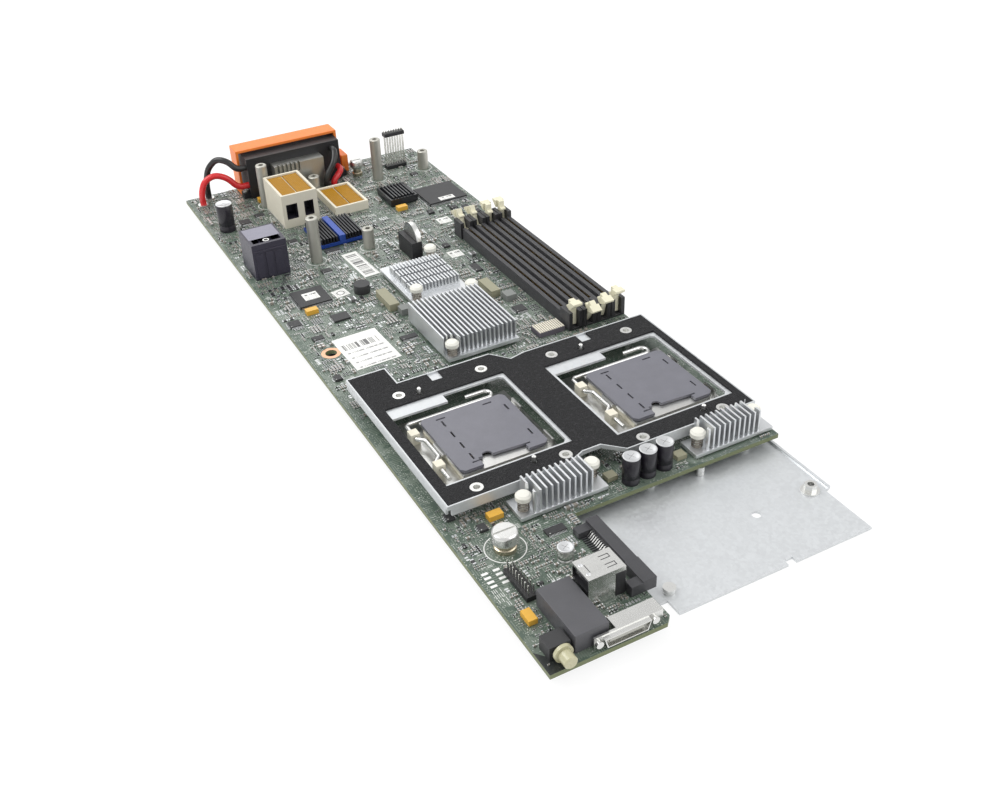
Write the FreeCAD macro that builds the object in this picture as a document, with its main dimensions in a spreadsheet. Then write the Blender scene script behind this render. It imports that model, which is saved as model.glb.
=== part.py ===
import FreeCAD, Part
import math
import os
import re
import Sketcher

# Blade server: an L-shaped circuit board on a sheet tray, with a processor cage over two sockets.
# Plan coordinates run from the board's front left corner: X to the right, Y to the rear, millimetres.
# Heights of pieces on the board are counted from its top face.

# Driving dimensions
SIZES = {
    # board and tray
    "board_width": 174.5,
    "board_length": 502,
    "board_thick": 2.4,
    "tongue_width": 57.8,
    "tongue_depth": 76,
    "tongue_chamfer": 3,
    "front_reach": 2.5,
    "tray_sheet": 1.2,
    "board_gap": 5,
    "tray_inset": 12,
    "tray_front": 7.5,
    "tray_rear_inset": 3,
    "tray_step_x": 66.5,
    "tray_step_depth": 8.5,
    "tray_edge_inset": 3,
    "tray_notch_x": 124,
    "tray_notch_width": 4.5,
    "tray_notch_depth": 3,
    "tray_hole_x": 133.1,
    "tray_hole_y": 40.5,
    "tray_hole_radius": 2.25,
    "lip_start": 38,
    "lip_rise": 2.4,
    "spacer_radius": 3.5,
    "nut_x": 165.2,
    "nut_y": 41.3,
    "nut_radius": 3.2,
    "nut_rise": 4,
    "nut_flange_radius": 4.6,
    "nut_flange_thick": 0.8,
    "stud_x": 70.3,
    "stud_y": 20.3,
    "stud_radius": 2.9,
    "stud_rise": 2.6,
    "ring_hole_x": 13.5,
    "ring_hole_y": 260.2,
    "ring_hole_radius": 3.2,
    # processor cage
    "cage_left": 5.2,
    "cage_right": 172.2,
    "cage_top": 9.6,
    "cage_sheet": 1.2,
    "cage_skirt": 3.6,
    "cage_front": 97.5,
    "cage_rear": 199.5,
    "cage_right_front": 92.3,
    "cage_right_rear": 191.5,
    "cage_bridge_front": 101.5,
    "cage_bridge_rear": 189.5,
    "cage_bridge_left": 78,
    "cage_bridge_right": 88,
    "cage_bridge_slope": 9,
    "window_width": 65,
    "window_depth": 65.5,
    "window_x": 11.6,
    "window_y": 113,
    "window_shift": 89.2,
    "window_ledge": 6.3,
    "window_ledge_width": 31,
    "window_chamfer": 2,
    "locator_rear_x": -13.7,
    "locator_rear_y": 39,
    "locator_front_x": 8.1,
    "locator_front_y": -39.4,
    "stagger": 7.2,
    "gasket_thick": 1,
    "gasket_inset": 1,
    "gasket_window_gap": 2,
    "gasket_notch_width": 6.5,
    "gasket_notch_depth": 8,
    "foot_width": 22,
    "foot_depth": 16,
    "cage_corner_gap": 2,
    "cage_rim": 0.7,
    "cage_bridge_step": 2,
    "standoff_x": 46.6,
    "standoff_y": 146.3,
    "standoff_shift": 85.4,
    "standoff_spacing_x": 47,
    "standoff_spacing_y": 85,
    "standoff_radius": 3.1,
    "standoff_neck": 2.5,
    "standoff_ring": 3.2,
    "standoff_ring_thick": 0.8,
    "standoff_bore": 1.65,
    "standoff_bore_depth": 8,
    "locator_radius": 1.1,
    "locator_shoulder": 2,
    "locator_rise": 4.2,
    "hole_clearance": 0.3,
    # processor sockets, counted from the lever's axis and the socket's middle
    "socket_x": 17.8,
    "socket_y": 143.5,
    "socket_shift": 91.5,
    "socket_body_x": 7,
    "socket_body_width": 43,
    "socket_body_depth": 43,
    "socket_body_rise": 4.2,
    "socket_body_wall": 2,
    "socket_body_floor": 1.6,
    "frame_left": -4.3,
    "frame_right": 59.4,
    "frame_front": -29,
    "frame_rear": 34,
    "frame_thick": 1,
    "frame_lip_rise": 3,
    "frame_clearance": 0.4,
    "ear_thick": 1.5,
    "ear_radius": 1.6,
    "hinge_x": 52.2,
    "hinge_rise": 4.1,
    "hinge_pin_radius": 0.9,
    "hinge_pin_clearance": 0.06,
    "hinge_pin_length": 6,
    "hinge_pin_y": 16,
    "hinge_side_gap": 0.3,
    "tab_x": 56.4,
    "tab_rise": 5.2,
    "tab_width": 9,
    "lever_rise": 5.1,
    "lever_wire": 1.1,
    "lever_clearance": 0.05,
    "lever_block_width": 4.8,
    "lever_block_thick": 5,
    "lever_block_rise": 7.2,
    "lever_block_front": -11.3,
    "lever_block_rear": 17,
    "lever_tail": -22.5,
    "lever_arm_y": 26.8,
    "lever_arm_end": 46.2,
    "lever_hook_width": 6.6,
    "lever_hook_back": 10,
    "lever_crank": 3.2,
    "lever_bend": 2.4,
    "plate_left": 6.2,
    "plate_depth": 49,
    "plate_rise": 4.6,
    "plate_thick": 1.2,
    "plate_hinge_gap": 2,
    "plate_window_width": 32,
    "plate_window_depth": 30,
    "nose_width": 12,
    "nose_gap": 0.4,
    "cap_left": 6,
    "cap_right": 53,
    "cap_depth": 47.2,
    "cap_gap": 0.3,
    "cap_rise": 7.6,
    "cap_top_thick": 0.9,
    "cap_wall": 1,
    "cap_corner": 2,
    "cap_recess_x": 11.5,
    "cap_recess_width": 24.5,
    "cap_recess_depth": 6,
    "cap_recess_taper": 1.5,
    "cap_arch_x": 16.5,
    "cap_arch_radius": 2.6,
    "cap_slot_length": 5,
    "cap_slot_width": 1,
    "cap_slot_inset": 9.5,
    "cap_slot_edge": 4,
    # heat sinks
    "sink_base_thick": 2,
    "chip_rise": 0.8,
    "regulator_left_x": 33.9,
    "regulator_left_y": 82,
    "regulator_right_x": 127.5,
    "regulator_right_y": 79.5,
    "regulator_width": 46,
    "regulator_left_depth": 14.6,
    "regulator_right_depth": 12.8,
    "regulator_top": 14.8,
    "regulator_fin_inset": 7,
    "regulator_fin_front": 0.6,
    "regulator_fin_width": 31,
    "fin_thick": 1,
    "chipset_x": 64.2,
    "chipset_y": 215,
    "chipset_width": 43.4,
    "chipset_depth": 52.6,
    "chipset_top": 13.6,
    "chipset_fin_width": 43.4,
    "chipset_fin_depth": 49,
    "chipset_fin_inset": 2.9,
    "rear_chipset_x": 73.5,
    "rear_chipset_y": 281,
    "rear_chipset_width": 36.5,
    "rear_chipset_depth": 49,
    "rear_chipset_top": 9.6,
    "rear_chipset_fin_width": 31.5,
    "rear_chipset_fin_depth": 32.5,
    "rear_chipset_fin_inset": 6.5,
    "chipset_chip_rise": 1.6,
    "chipset_pin_x": 43.8,
    "chipset_pin_y": 58,
    "chipset_ear_radius": 4.8,
    "rear_chipset_plinth": 1.6,
    "pushpin_radius": 1.2,
    "pushpin_head": 3.8,
    "pushpin_head_thick": 3,
    "pushpin_rise": 12,
    "spring_radius": 2.9,
    "spring_wire": 0.45,
    "blue_sink_x": 54,
    "blue_sink_y": 379,
    "blue_sink_width": 30.5,
    "blue_sink_depth": 32,
    "blue_sink_top": 7.1,
    "blue_sink_bar": 4,
    "black_sink_x": 118.5,
    "black_sink_y": 413,
    "black_sink_width": 20,
    "black_sink_depth": 24,
    "black_sink_top": 6.6,
    "black_sink_wall": 1.2,
    "black_sink_wall_top": 5.4,
    # memory
    "memory_x": 141.9,
    "memory_pitch": 9.4,
    "memory_front": 211,
    "memory_length": 143.5,
    "memory_width": 6.8,
    "memory_rise": 7.6,
    "memory_slot": 1.8,
    "memory_slot_floor": 2,
    "tower_width": 8.8,
    "tower_length": 10,
    "tower_rise": 11.2,
    "tower_gap": 4.2,
    "tower_floor": 1,
    "latch_inset": 4,
    "latch_hinge_rise": 3.6,
    "latch_pin_radius": 1,
    "latch_pin_clearance": 0.06,
    "latch_pin_length": 6.2,
    "latch_stem_width": 3.4,
    "latch_stem_half": 1.5,
    "latch_rise": 13.6,
    "latch_thumb_width": 6,
    "latch_thumb_reach": 6,
    "latch_thumb_thick": 2.4,
    "latch_hook_reach": 3.6,
    "latch_hook_rise": 8.4,
    "latch_foot_reach": 5,
    # rear connector
    "connector_x": 41,
    "connector_y": 479,
    "connector_width": 68,
    "connector_depth": 22.5,
    "connector_rise": 29.1,
    "connector_recess": 8,
    "connector_wall": 2,
    "wafer_thick": 1.6,
    "guard_x": 36.8,
    "guard_width": 74.4,
    "guard_depth": 14,
    "guard_rise": 32.8,
    "guard_wall": 1.8,
    "guard_foot_x": 113,
    "guard_foot_width": 5,
    "guard_foot_rise": 12.6,
    "ear_reach": 4.5,
    "ear_rise": 4,
    "screw_head_radius": 2.1,
    "screw_head_rise": 1.6,
    "shield_x": 57.5,
    "shield_width": 36,
    "shield_depth": 9,
    "shield_rise": 23,
    "shield_tooth": 1.5,
    "lead_radius": 2.15,
    "lug_radius": 3.75,
    "lug_thick": 1.2,
    # stacking connectors and posts
    "mezzanine_y": 421,
    "mezzanine_depth": 36.5,
    "mezzanine_wall": 2,
    "tall_x": 44.8,
    "tall_width": 24.7,
    "tall_rise": 23.2,
    "short_x": 81,
    "short_width": 24,
    "short_rise": 6.1,
    "field_thick": 0.8,
    "field_inset": 1.6,
    "field_seam": 1,
    "field_recess": 1,
    "field_clearance": 0.3,
    "bay_left": 2.5,
    "bay_left_width": 7.8,
    "bay_right": 15,
    "bay_right_width": 6.5,
    "bay_floor": 6,
    "bay_rise": 10.5,
    "bay_depth": 12,
    "post_radius": 3.75,
    "post_bore": 1.65,
    "post_bore_depth": 8,
    "tall_post_rise": 30.1,
    "short_post_rise": 13.5,
    "tall_post_x": 46.3,
    "short_post_x": 82.3,
    "post_y": 367,
    "post_spacing_x": 84,
    "post_spacing_y": 96,
    # captive thumbscrews
    "front_screw_x": 19.9,
    "front_screw_y": 71.7,
    "front_screw_head": 6.35,
    "front_screw_top": 10.4,
    "front_screw_head_rise": 6,
    "front_screw_neck": 5.55,
    "front_screw_flare": 1,
    "front_ferrule_radius": 5.2,
    "front_ferrule_rise": 4.1,
    "rear_screw_x": 120.5,
    "rear_screw_y": 478.4,
    "rear_screw_head": 4.9,
    "rear_screw_top": 11.2,
    "rear_screw_head_rise": 7,
    "rear_screw_neck": 2.9,
    "rear_screw_flare": 3.4,
    "rear_ferrule_radius": 3.6,
    "rear_ferrule_rise": 3.8,
    "shank_radius": 1.9,
    "shank_clearance": 0.06,
    "shank_below": 4,
    # other parts of the board
    "receptacle_x": 5,
    "receptacle_y": 362,
    "receptacle_width": 22,
    "receptacle_depth": 25,
    "receptacle_rise": 23.5,
    "receptacle_wall": 2.2,
    "receptacle_recess": 6,
    "holder_x": 98,
    "holder_y": 334,
    "holder_width": 7,
    "holder_depth": 21,
    "holder_rise": 12,
    "cell_radius": 10,
    "cell_thick": 3.2,
    "cell_lift": 1,
    "header_x": 142.4,
    "header_y": 473.5,
    "header_width": 15.4,
    "header_depth": 5.1,
    "header_strip": 2.5,
    "header_pitch": 2,
    "header_pin": 0.5,
    "header_pin_rise": 28.5,
    "header_upper": 24.6,
    "header_upper_strip": 2.5,
    "front_header_x": 11.5,
    "front_header_y": 38,
    "front_header_rise": 8,
    "front_header_pitch": 2.54,
    "usb_x": 31.4,
    "usb_y": 22.5,
    "usb_length": 17.9,
    "usb_width": 13,
    "usb_rise": 15.4,
    "usb_wall": 0.5,
    "usb_port_rise": 5.6,
    "usb_tongue": 1.8,
    "drive_x": 50,
    "drive_y": 19,
    "drive_width": 15,
    "drive_length": 46,
    "drive_rise": 5.4,
    "drive_bar_x": 56.5,
    "drive_bar_width": 6,
    "drive_arm": 5,
    "drive_arm_rise": 3.4,
    "drive_flange": 14,
    "drive_flange_reach": 0.8,
    "drive_flange_rise": 6,
    "io_x": 32,
    "io_y": 3.5,
    "io_width": 22,
    "io_depth": 6.5,
    "io_rise": 6,
    "io_shell_x": 25,
    "io_shell_width": 22,
    "io_shell_y": 0.2,
    "io_shell_slant": 1.4,
    "io_flange_reach": 3.5,
    "io_nut_radius": 1.7,
    "io_shell_rise": 5,
    "io_shell_wall": 0.5,
    "corner_shield_x": 14,
    "corner_shield_y": 4.5,
    "corner_shield_width": 15.7,
    "corner_shield_depth": 30.3,
    "corner_shield_rise": 9.4,
    "corner_shield_wall": 0.6,
    "button_x": 8.2,
    "button_rise": 4.4,
    "button_radius": 3,
    "button_flange": 4.2,
    "button_flange_thick": 1.6,
    "button_flange_y": 3,
    "button_travel": 1,
    "switch_width": 9.6,
    "switch_depth": 8,
    "switch_y": 6.2,
}

DOC = FreeCAD.newDocument("BladeServer")
SHEET = DOC.addObject("Spreadsheet::Sheet", "Sizes")
NODES = {}
WORD = re.compile(r"[a-z][a-z_]*[a-z]")

ON_TRAY = "0"
ON_BOARD = "tray_sheet + board_gap + board_thick"
UPRIGHT = FreeCAD.Rotation()
ALONG_X = FreeCAD.Rotation(FreeCAD.Vector(0, 1, 0), 90)
ALONG_Y = FreeCAD.Rotation(FreeCAD.Vector(1, 0, 0), -90)


# The sheet of sizes and the ways to read it
def fill_sheet():
    for row, (word, number) in enumerate(SIZES.items(), start=1):
        SHEET.set(f"A{row}", word)
        SHEET.set(f"B{row}", str(number))
        SHEET.setAlias(f"B{row}", word)
    DOC.recompute()


def size(word):
    return float(SHEET.get(word))


def named(text):
    def with_sheet(match):
        word = match.group()
        return f"Sizes.{word}" if word in SIZES else word
    return WORD.sub(with_sheet, str(text))


def bind(item, sizes):
    for field, text in sizes.items():
        item.setExpression(field, named(text))


def place(item, x, y, z, turn=UPRIGHT):
    item.Placement = FreeCAD.Placement(FreeCAD.Vector(), turn)
    bind(item, {"Placement.Base.x": x, "Placement.Base.y": y, "Placement.Base.z": z})
    return item


def finish(node, item, level=ON_BOARD, x="0", y="0", turn=UPRIGHT):
    """Names a sub-part and sets it in the frame whose origin is below the middle of the whole."""
    item.Label = node
    across = f"{x} - board_width / 2"
    along = f"{y} + (front_reach - board_length) / 2"
    NODES[node] = place(item, across, along, level, turn)
    return item


# Solids
def block(x, y, z, length, width, rise):
    item = DOC.addObject("Part::Box", "Block")
    bind(item, {"Length": length, "Width": width, "Height": rise})
    return place(item, x, y, z)


def disc(x, y, z, radius, length, turn=UPRIGHT):
    item = DOC.addObject("Part::Cylinder", "Disc")
    bind(item, {"Radius": radius, "Height": length})
    return place(item, x, y, z, turn)


def sketch_on(body, role, points):
    """A closed outline on one of the body's own planes, each corner held by two named distances."""
    sketch = body.newObject("Sketcher::SketchObject", "Outline")
    plane = next(item for item in body.Origin.OriginFeatures if item.Role == role)
    sketch.AttachmentSupport = [(plane, "")]
    sketch.MapMode = "FlatFace"
    count = len(points)
    texts = [(named(across), named(up)) for across, up in points]
    corners = [FreeCAD.Vector(sheet_value(across), sheet_value(up), 0) for across, up in texts]
    for index in range(count):
        line = Part.LineSegment(corners[index], corners[(index + 1) % count])
        sketch.addGeometry(line, False)
    for index in range(count):
        sketch.addConstraint(Sketcher.Constraint("Coincident", index, 2, (index + 1) % count, 1))
    for index in range(count):
        for kind, text, start in (("DistanceX", texts[index][0], corners[index].x),
                                  ("DistanceY", texts[index][1], corners[index].y)):
            held = sketch.addConstraint(Sketcher.Constraint(kind, -1, 1, index, 1, start))
            sketch.setExpression(f"Constraints[{held}]", text)
    return sketch


def sheet_value(text):
    """The number that an expression of the sheet's sizes gives now."""
    return float(SHEET.evalExpression(text.replace("Sizes.", "")))


def prism(points, start, depth, along="z"):
    """A padded outline. Along z the points are (x, y), along x (y, z) and along y (x, z)."""
    role, reverse = {"z": ("XY_Plane", False), "x": ("YZ_Plane", False), "y": ("XZ_Plane", True)}[along]
    body = DOC.addObject("PartDesign::Body", "Prism")
    sketch = sketch_on(body, role, points)
    pad = body.newObject("PartDesign::Pad", "Pad")
    pad.Profile = sketch
    pad.Reversed = reverse
    bind(pad, {"Length": depth})
    x, y, z = {"z": ("0", "0", start), "x": (start, "0", "0"), "y": ("0", start, "0")}[along]
    return place(body, x, y, z)


def turned(x, y, z, points, turn=UPRIGHT):
    """A body of revolution about its own Z axis, from (radius, height) points."""
    body = DOC.addObject("PartDesign::Body", "Turned")
    sketch = sketch_on(body, "XZ_Plane", points)
    spin = body.newObject("PartDesign::Revolution", "Spin")
    spin.Profile = sketch
    spin.ReferenceAxis = (sketch, ["V_Axis"])
    spin.Angle = 360
    return place(body, x, y, z, turn)


def fuse(items):
    if len(items) == 1:
        return group(items)
    item = DOC.addObject("Part::MultiFuse", "Fuse")
    item.Shapes = items
    return item


def cut(base, tools):
    item = DOC.addObject("Part::Cut", "Cut")
    item.Base = base
    item.Tool = tools[0] if len(tools) == 1 else fuse(tools)
    return item


def group(items):
    """Separate solids that share one sub-part."""
    item = DOC.addObject("Part::Compound", "Group")
    item.Links = items
    return item


def solid(shape):
    item = DOC.addObject("Part::Feature", "Solid")
    item.Shape = shape
    return item


# Tray and board
def base_tray():
    right = "board_width - tray_edge_inset"
    rear = "board_length - tray_rear_inset"
    step = "tray_front + tray_step_depth"
    notch_end = "tray_notch_x + tray_notch_width"
    notch_depth = "tray_front + tray_notch_depth"
    outline = [("tray_inset", step), ("tray_step_x", step), ("tray_step_x", "tray_front"),
               ("tray_notch_x", "tray_front"), ("tray_notch_x", notch_depth), (notch_end, notch_depth),
               (notch_end, "tray_front"), (right, "tray_front"), (right, rear), ("tray_inset", rear)]
    sheet = prism(outline, "0", "tray_sheet")
    lip_top = "lip_rise"
    lip = [("board_width - 4 * tray_sheet", "0"), ("board_width - tray_sheet", "0"),
           ("board_width", "tray_sheet"), ("board_width", lip_top), ("board_width - tray_sheet", lip_top),
           ("board_width - tray_sheet", "1.5 * tray_sheet"), ("board_width - 1.5 * tray_sheet", "tray_sheet"),
           ("board_width - 4 * tray_sheet", "tray_sheet")]
    edge = prism(lip, "lip_start", f"{rear} - lip_start", along="y")
    hole = disc("tray_hole_x", "tray_hole_y", "-tray_sheet", "tray_hole_radius", "3 * tray_sheet")
    return finish("base_tray", cut(fuse([sheet, edge]), [hole]), ON_TRAY)


SPACER_SPOTS = [(30, 30), (30, 150), (30, 300), (30, 440), (100, 440), (160, 440), (100, 300),
                (104, 205), (160, 205), (104, 84), (160, 84)]


def tray_standoffs():
    spacers = [disc(str(x), str(y), "tray_sheet", "spacer_radius", "board_gap") for x, y in SPACER_SPOTS]
    for spot in ("front_screw", "rear_screw"):
        wide = disc(f"{spot}_x", f"{spot}_y", "tray_sheet", "spacer_radius", "board_gap")
        bore = disc(f"{spot}_x", f"{spot}_y", "0", "shank_radius + hole_clearance", "board_gap * 2")
        spacers.append(cut(wide, [bore]))
    flange = disc("nut_x", "nut_y", "tray_sheet", "nut_flange_radius", "nut_flange_thick")
    corners = [(f"nut_x + nut_radius * cos({angle})", f"nut_y + nut_radius * sin({angle})")
               for angle in range(0, 360, 60)]
    hexagon = prism(corners, "tray_sheet", "nut_rise")
    thread = disc("nut_x", "nut_y", "tray_sheet", "nut_radius / 2", "nut_rise * 2")
    nut = cut(fuse([flange, hexagon]), [thread])
    stud = disc("stud_x", "stud_y", "tray_sheet", "stud_radius", "stud_rise")
    return finish("tray_standoffs", group(spacers + [nut, stud]), ON_TRAY)


def main_board():
    outline = [("0", "0"), ("tongue_width - tongue_chamfer", "0"), ("tongue_width", "tongue_chamfer"),
               ("tongue_width", "tongue_depth"), ("board_width", "tongue_depth"),
               ("board_width", "board_length"), ("0", "board_length")]
    sheet = prism(outline, "-board_thick", "board_thick")
    holes = [disc("ring_hole_x", "ring_hole_y", "-2 * board_thick", "ring_hole_radius", "3 * board_thick")]
    for spot in ("front_screw", "rear_screw"):
        radius = "shank_radius + hole_clearance"
        holes.append(disc(f"{spot}_x", f"{spot}_y", "-2 * board_thick", radius, "3 * board_thick"))
    return finish("main_board", cut(sheet, holes))


# Processor cage
def cage_outline(inset):
    left, right = f"cage_left + {inset}", f"cage_right - {inset}"
    foot = "cage_bridge_left - cage_bridge_slope"
    rise = "cage_bridge_right + cage_bridge_slope"
    return [(left, f"cage_front + {inset}"), (foot, f"cage_front + {inset}"),
            ("cage_bridge_left", f"cage_bridge_front + {inset}"),
            ("cage_bridge_right", f"cage_bridge_front + {inset}"),
            (rise, f"cage_right_front + {inset}"), (right, f"cage_right_front + {inset}"),
            (right, f"cage_right_rear - {inset}"), (rise, f"cage_right_rear - {inset}"),
            ("cage_bridge_right", f"cage_bridge_rear - {inset}"),
            ("cage_bridge_left + cage_bridge_step", f"cage_rear - {inset}"),
            (f"cage_left + foot_width - {inset}", f"cage_rear - {inset}"),
            (f"cage_left + foot_width - {inset}", f"cage_rear + foot_depth - {inset}"),
            (left, f"cage_rear + foot_depth - {inset}")]


def cage_windows(start, depth):
    """The two staggered openings over the sockets, each with a ledge at its rear left corner."""
    windows = []
    for shift, back in (("0", "0"), ("window_shift", "stagger")):
        left = f"window_x + {shift}"
        right = f"{left} + window_width"
        front = f"window_y - {back}"
        rear = f"{front} + window_depth"
        ledge_x = f"{left} + window_ledge_width"
        ledge_y = f"{rear} - window_ledge"
        outline = [(left, front), (f"{right} - window_chamfer", front), (right, f"{front} + window_chamfer"),
                   (right, f"{rear} - window_chamfer"), (f"{right} - window_chamfer", rear),
                   (ledge_x, rear), (ledge_x, ledge_y), (left, ledge_y)]
        windows.append(prism(outline, start, depth))
    return windows


def gasket_windows(start, depth):
    """The foam keeps back from both openings, except along the left one's left edge."""
    windows = []
    for shift, back, border in (("0", "0", "0"), ("window_shift", "stagger", "gasket_window_gap")):
        windows.append(block(f"window_x + {shift} - {border}", f"window_y - {back} - gasket_window_gap", start,
                             f"window_width + {border} + gasket_window_gap",
                             "window_depth + 2 * gasket_window_gap", depth))
    return windows


def standoff_spots():
    spots = []
    for shift, back in (("0", "0"), ("standoff_shift", "stagger")):
        for across in (-1, 1):
            for along in (-1, 1):
                spots.append((f"standoff_x + {shift} + {across} * standoff_spacing_x / 2",
                              f"standoff_y - {back} + {along} * standoff_spacing_y / 2"))
    return spots


def locator_spots():
    spots = []
    for shift, back in (("0", "0"), ("socket_shift", "stagger")):
        for end in ("rear", "front"):
            spots.append((f"standoff_x + {shift} + locator_{end}_x",
                          f"standoff_y - {back} + locator_{end}_y"))
    return spots


def holes_at(spots, radius, start, depth):
    return [disc(x, y, start, radius, depth) for x, y in spots]


def cage_frame():
    under = "cage_top - cage_sheet"
    skirt_z = f"{under} - cage_skirt"
    rim = cut(prism(cage_outline("0"), "cage_top", "gasket_thick"),
              [prism(cage_outline("cage_rim"), "cage_top - gasket_thick", "3 * gasket_thick")])
    pieces = [prism(cage_outline("0"), under, "cage_sheet"), rim]
    left_reach = "cage_bridge_left - cage_bridge_slope - cage_left"
    right_start = "cage_bridge_right + cage_bridge_slope"
    right_reach = f"cage_right - ({right_start})"
    runs = [("cage_left + cage_corner_gap", "cage_front", f"{left_reach} - cage_corner_gap", "cage_sheet"),
            (right_start, "cage_right_front", right_reach, "cage_sheet"),
            ("cage_left + foot_width", "cage_rear - cage_sheet",
             f"{left_reach} + cage_bridge_slope - foot_width", "cage_sheet"),
            (right_start, "cage_right_rear - cage_sheet", right_reach, "cage_sheet"),
            ("cage_left", "cage_front + cage_corner_gap", "cage_sheet",
             "cage_rear + foot_depth - cage_front - cage_corner_gap"),
            ("cage_right - cage_sheet", "cage_right_front", "cage_sheet", "cage_right_rear - cage_right_front")]
    for x, y, length, width in runs:
        pieces.append(block(x, y, skirt_z, length, width, "cage_skirt + cage_sheet"))
    tools = cage_windows(f"{under} - cage_sheet", "3 * cage_sheet")
    tools += holes_at(standoff_spots(), "standoff_neck + hole_clearance", skirt_z, "2 * cage_top")
    tools += holes_at(locator_spots(), "locator_radius + hole_clearance", skirt_z, "2 * cage_top")
    return finish("cage_frame", cut(fuse(pieces), tools))


def cage_gasket():
    sheet = prism(cage_outline("gasket_inset"), "cage_top", "gasket_thick")
    tools = gasket_windows("cage_top - gasket_thick", "3 * gasket_thick")
    tools += holes_at(standoff_spots(), "standoff_ring + hole_clearance", "cage_top - gasket_thick",
                      "3 * gasket_thick")
    tools += holes_at(locator_spots(), "locator_radius + 2 * hole_clearance", "cage_top - gasket_thick",
                      "3 * gasket_thick")
    for x, rear in (("standoff_x", "cage_rear"), ("standoff_x + standoff_shift", "cage_right_rear")):
        tools.append(block(f"{x} - gasket_notch_width / 2", f"{rear} - gasket_notch_depth",
                           "cage_top - gasket_thick", "gasket_notch_width", "2 * gasket_notch_depth",
                           "3 * gasket_thick"))
    return finish("cage_gasket", cut(sheet, tools))


def cage_standoffs():
    under, ring_top = "cage_top - cage_sheet", "cage_top + standoff_ring_thick"
    floor = f"{ring_top} - standoff_bore_depth"
    profile = [("0", "0"), ("standoff_radius", "0"), ("standoff_radius", under), ("standoff_neck", under),
               ("standoff_neck", "cage_top"), ("standoff_ring", "cage_top"), ("standoff_ring", ring_top),
               ("standoff_bore", ring_top), ("standoff_bore", floor), ("0", floor)]
    pieces = [turned(x, y, "0", profile) for x, y in standoff_spots()]
    tip = "cage_top + locator_rise"
    pin = [("0", "0"), ("locator_shoulder", "0"), ("locator_shoulder", under), ("locator_radius", under),
           ("locator_radius", f"{tip} - locator_radius / 2"), ("locator_radius / 2", tip), ("0", tip)]
    pieces += [turned(x, y, "0", pin) for x, y in locator_spots()]
    return finish("cage_standoffs", group(pieces))


# Processor sockets
SIDES = {"left": ("socket_x", "socket_y"), "right": ("socket_x + socket_shift", "socket_y - stagger")}


def socket_body(side):
    x, y = SIDES[side]
    left = f"{x} + socket_body_x"
    front = f"{y} - socket_body_depth / 2"
    shell = block(left, front, "0", "socket_body_width", "socket_body_depth", "socket_body_rise")
    bed = block(f"{left} + socket_body_wall", f"{front} + socket_body_wall", "socket_body_floor",
                "socket_body_width - 2 * socket_body_wall", "socket_body_depth - 2 * socket_body_wall",
                "socket_body_rise")
    key = [block(f"{left} + socket_body_wall", f"{y} + {step}", "socket_body_floor / 2",
                 "socket_body_wall / 2", "socket_body_wall", "socket_body_rise * 0.75")
           for step in (-10, 8)]
    return finish(f"socket_body_{side}", group([fuse([cut(shell, [bed])] + key)] + lever_blocks(side)))


def lever_blocks(side):
    """The two bearings of the lever's wire, which stand on the frame's plate."""
    x, y = SIDES[side]
    blocks = []
    for middle in ("lever_block_front", "lever_block_rear"):
        stand = block(f"{x} - lever_block_width / 2", f"{y} + {middle} - lever_block_thick / 2", "frame_thick",
                      "lever_block_width", "lever_block_thick", "lever_block_rise - frame_thick")
        bore = disc(x, f"{y} + {middle} - lever_block_thick", "lever_rise",
                    "lever_wire + lever_clearance", "2 * lever_block_thick", ALONG_Y)
        blocks.append(cut(stand, [bore]))
    return blocks


def socket_frame(side):
    x, y = SIDES[side]
    base = block(f"{x} + frame_left", f"{y} + frame_front", "0", "frame_right - frame_left",
                 "frame_rear - frame_front", "frame_thick")
    room = block(f"{x} + socket_body_x - frame_clearance", f"{y} - socket_body_depth / 2 - frame_clearance",
                 "-frame_thick", "socket_body_width + 2 * frame_clearance",
                 "socket_body_depth + 2 * frame_clearance", "3 * frame_thick")
    solids, bores = [], []
    for middle in (-1, 1):
        for end in (-1, 1):
            inner = f"{y} + {middle} * hinge_pin_y + {end} * (hinge_pin_length / 2 + hinge_side_gap)"
            start = inner if end > 0 else f"{inner} - ear_thick"
            solids.append(disc(f"{x} + hinge_x", start, "hinge_rise", "ear_radius", "ear_thick", ALONG_Y))
            solids.append(block(f"{x} + hinge_x - ear_radius + 0.2", start, "0", "2 * ear_radius - 0.4",
                                "ear_thick", "hinge_rise"))
        bores.append(disc(f"{x} + hinge_x", f"{y} + {middle} * hinge_pin_y - hinge_pin_length",
                          "hinge_rise", "hinge_pin_radius + hinge_pin_clearance", "2 * hinge_pin_length",
                          ALONG_Y))
        tab_y = f"{y} + {middle} * hinge_pin_y - tab_width / 2"
        solids.append(block(f"{x} + tab_x", tab_y, "0", "frame_thick", "tab_width", "tab_rise"))
    lip = block(f"{x} + frame_left", f"{y} + frame_front", "0", "frame_right - frame_left", "frame_thick",
                "frame_lip_rise")
    plate = cut(base, [room])
    return finish(f"socket_frame_{side}", cut(fuse([plate, lip] + solids), bores))


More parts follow.
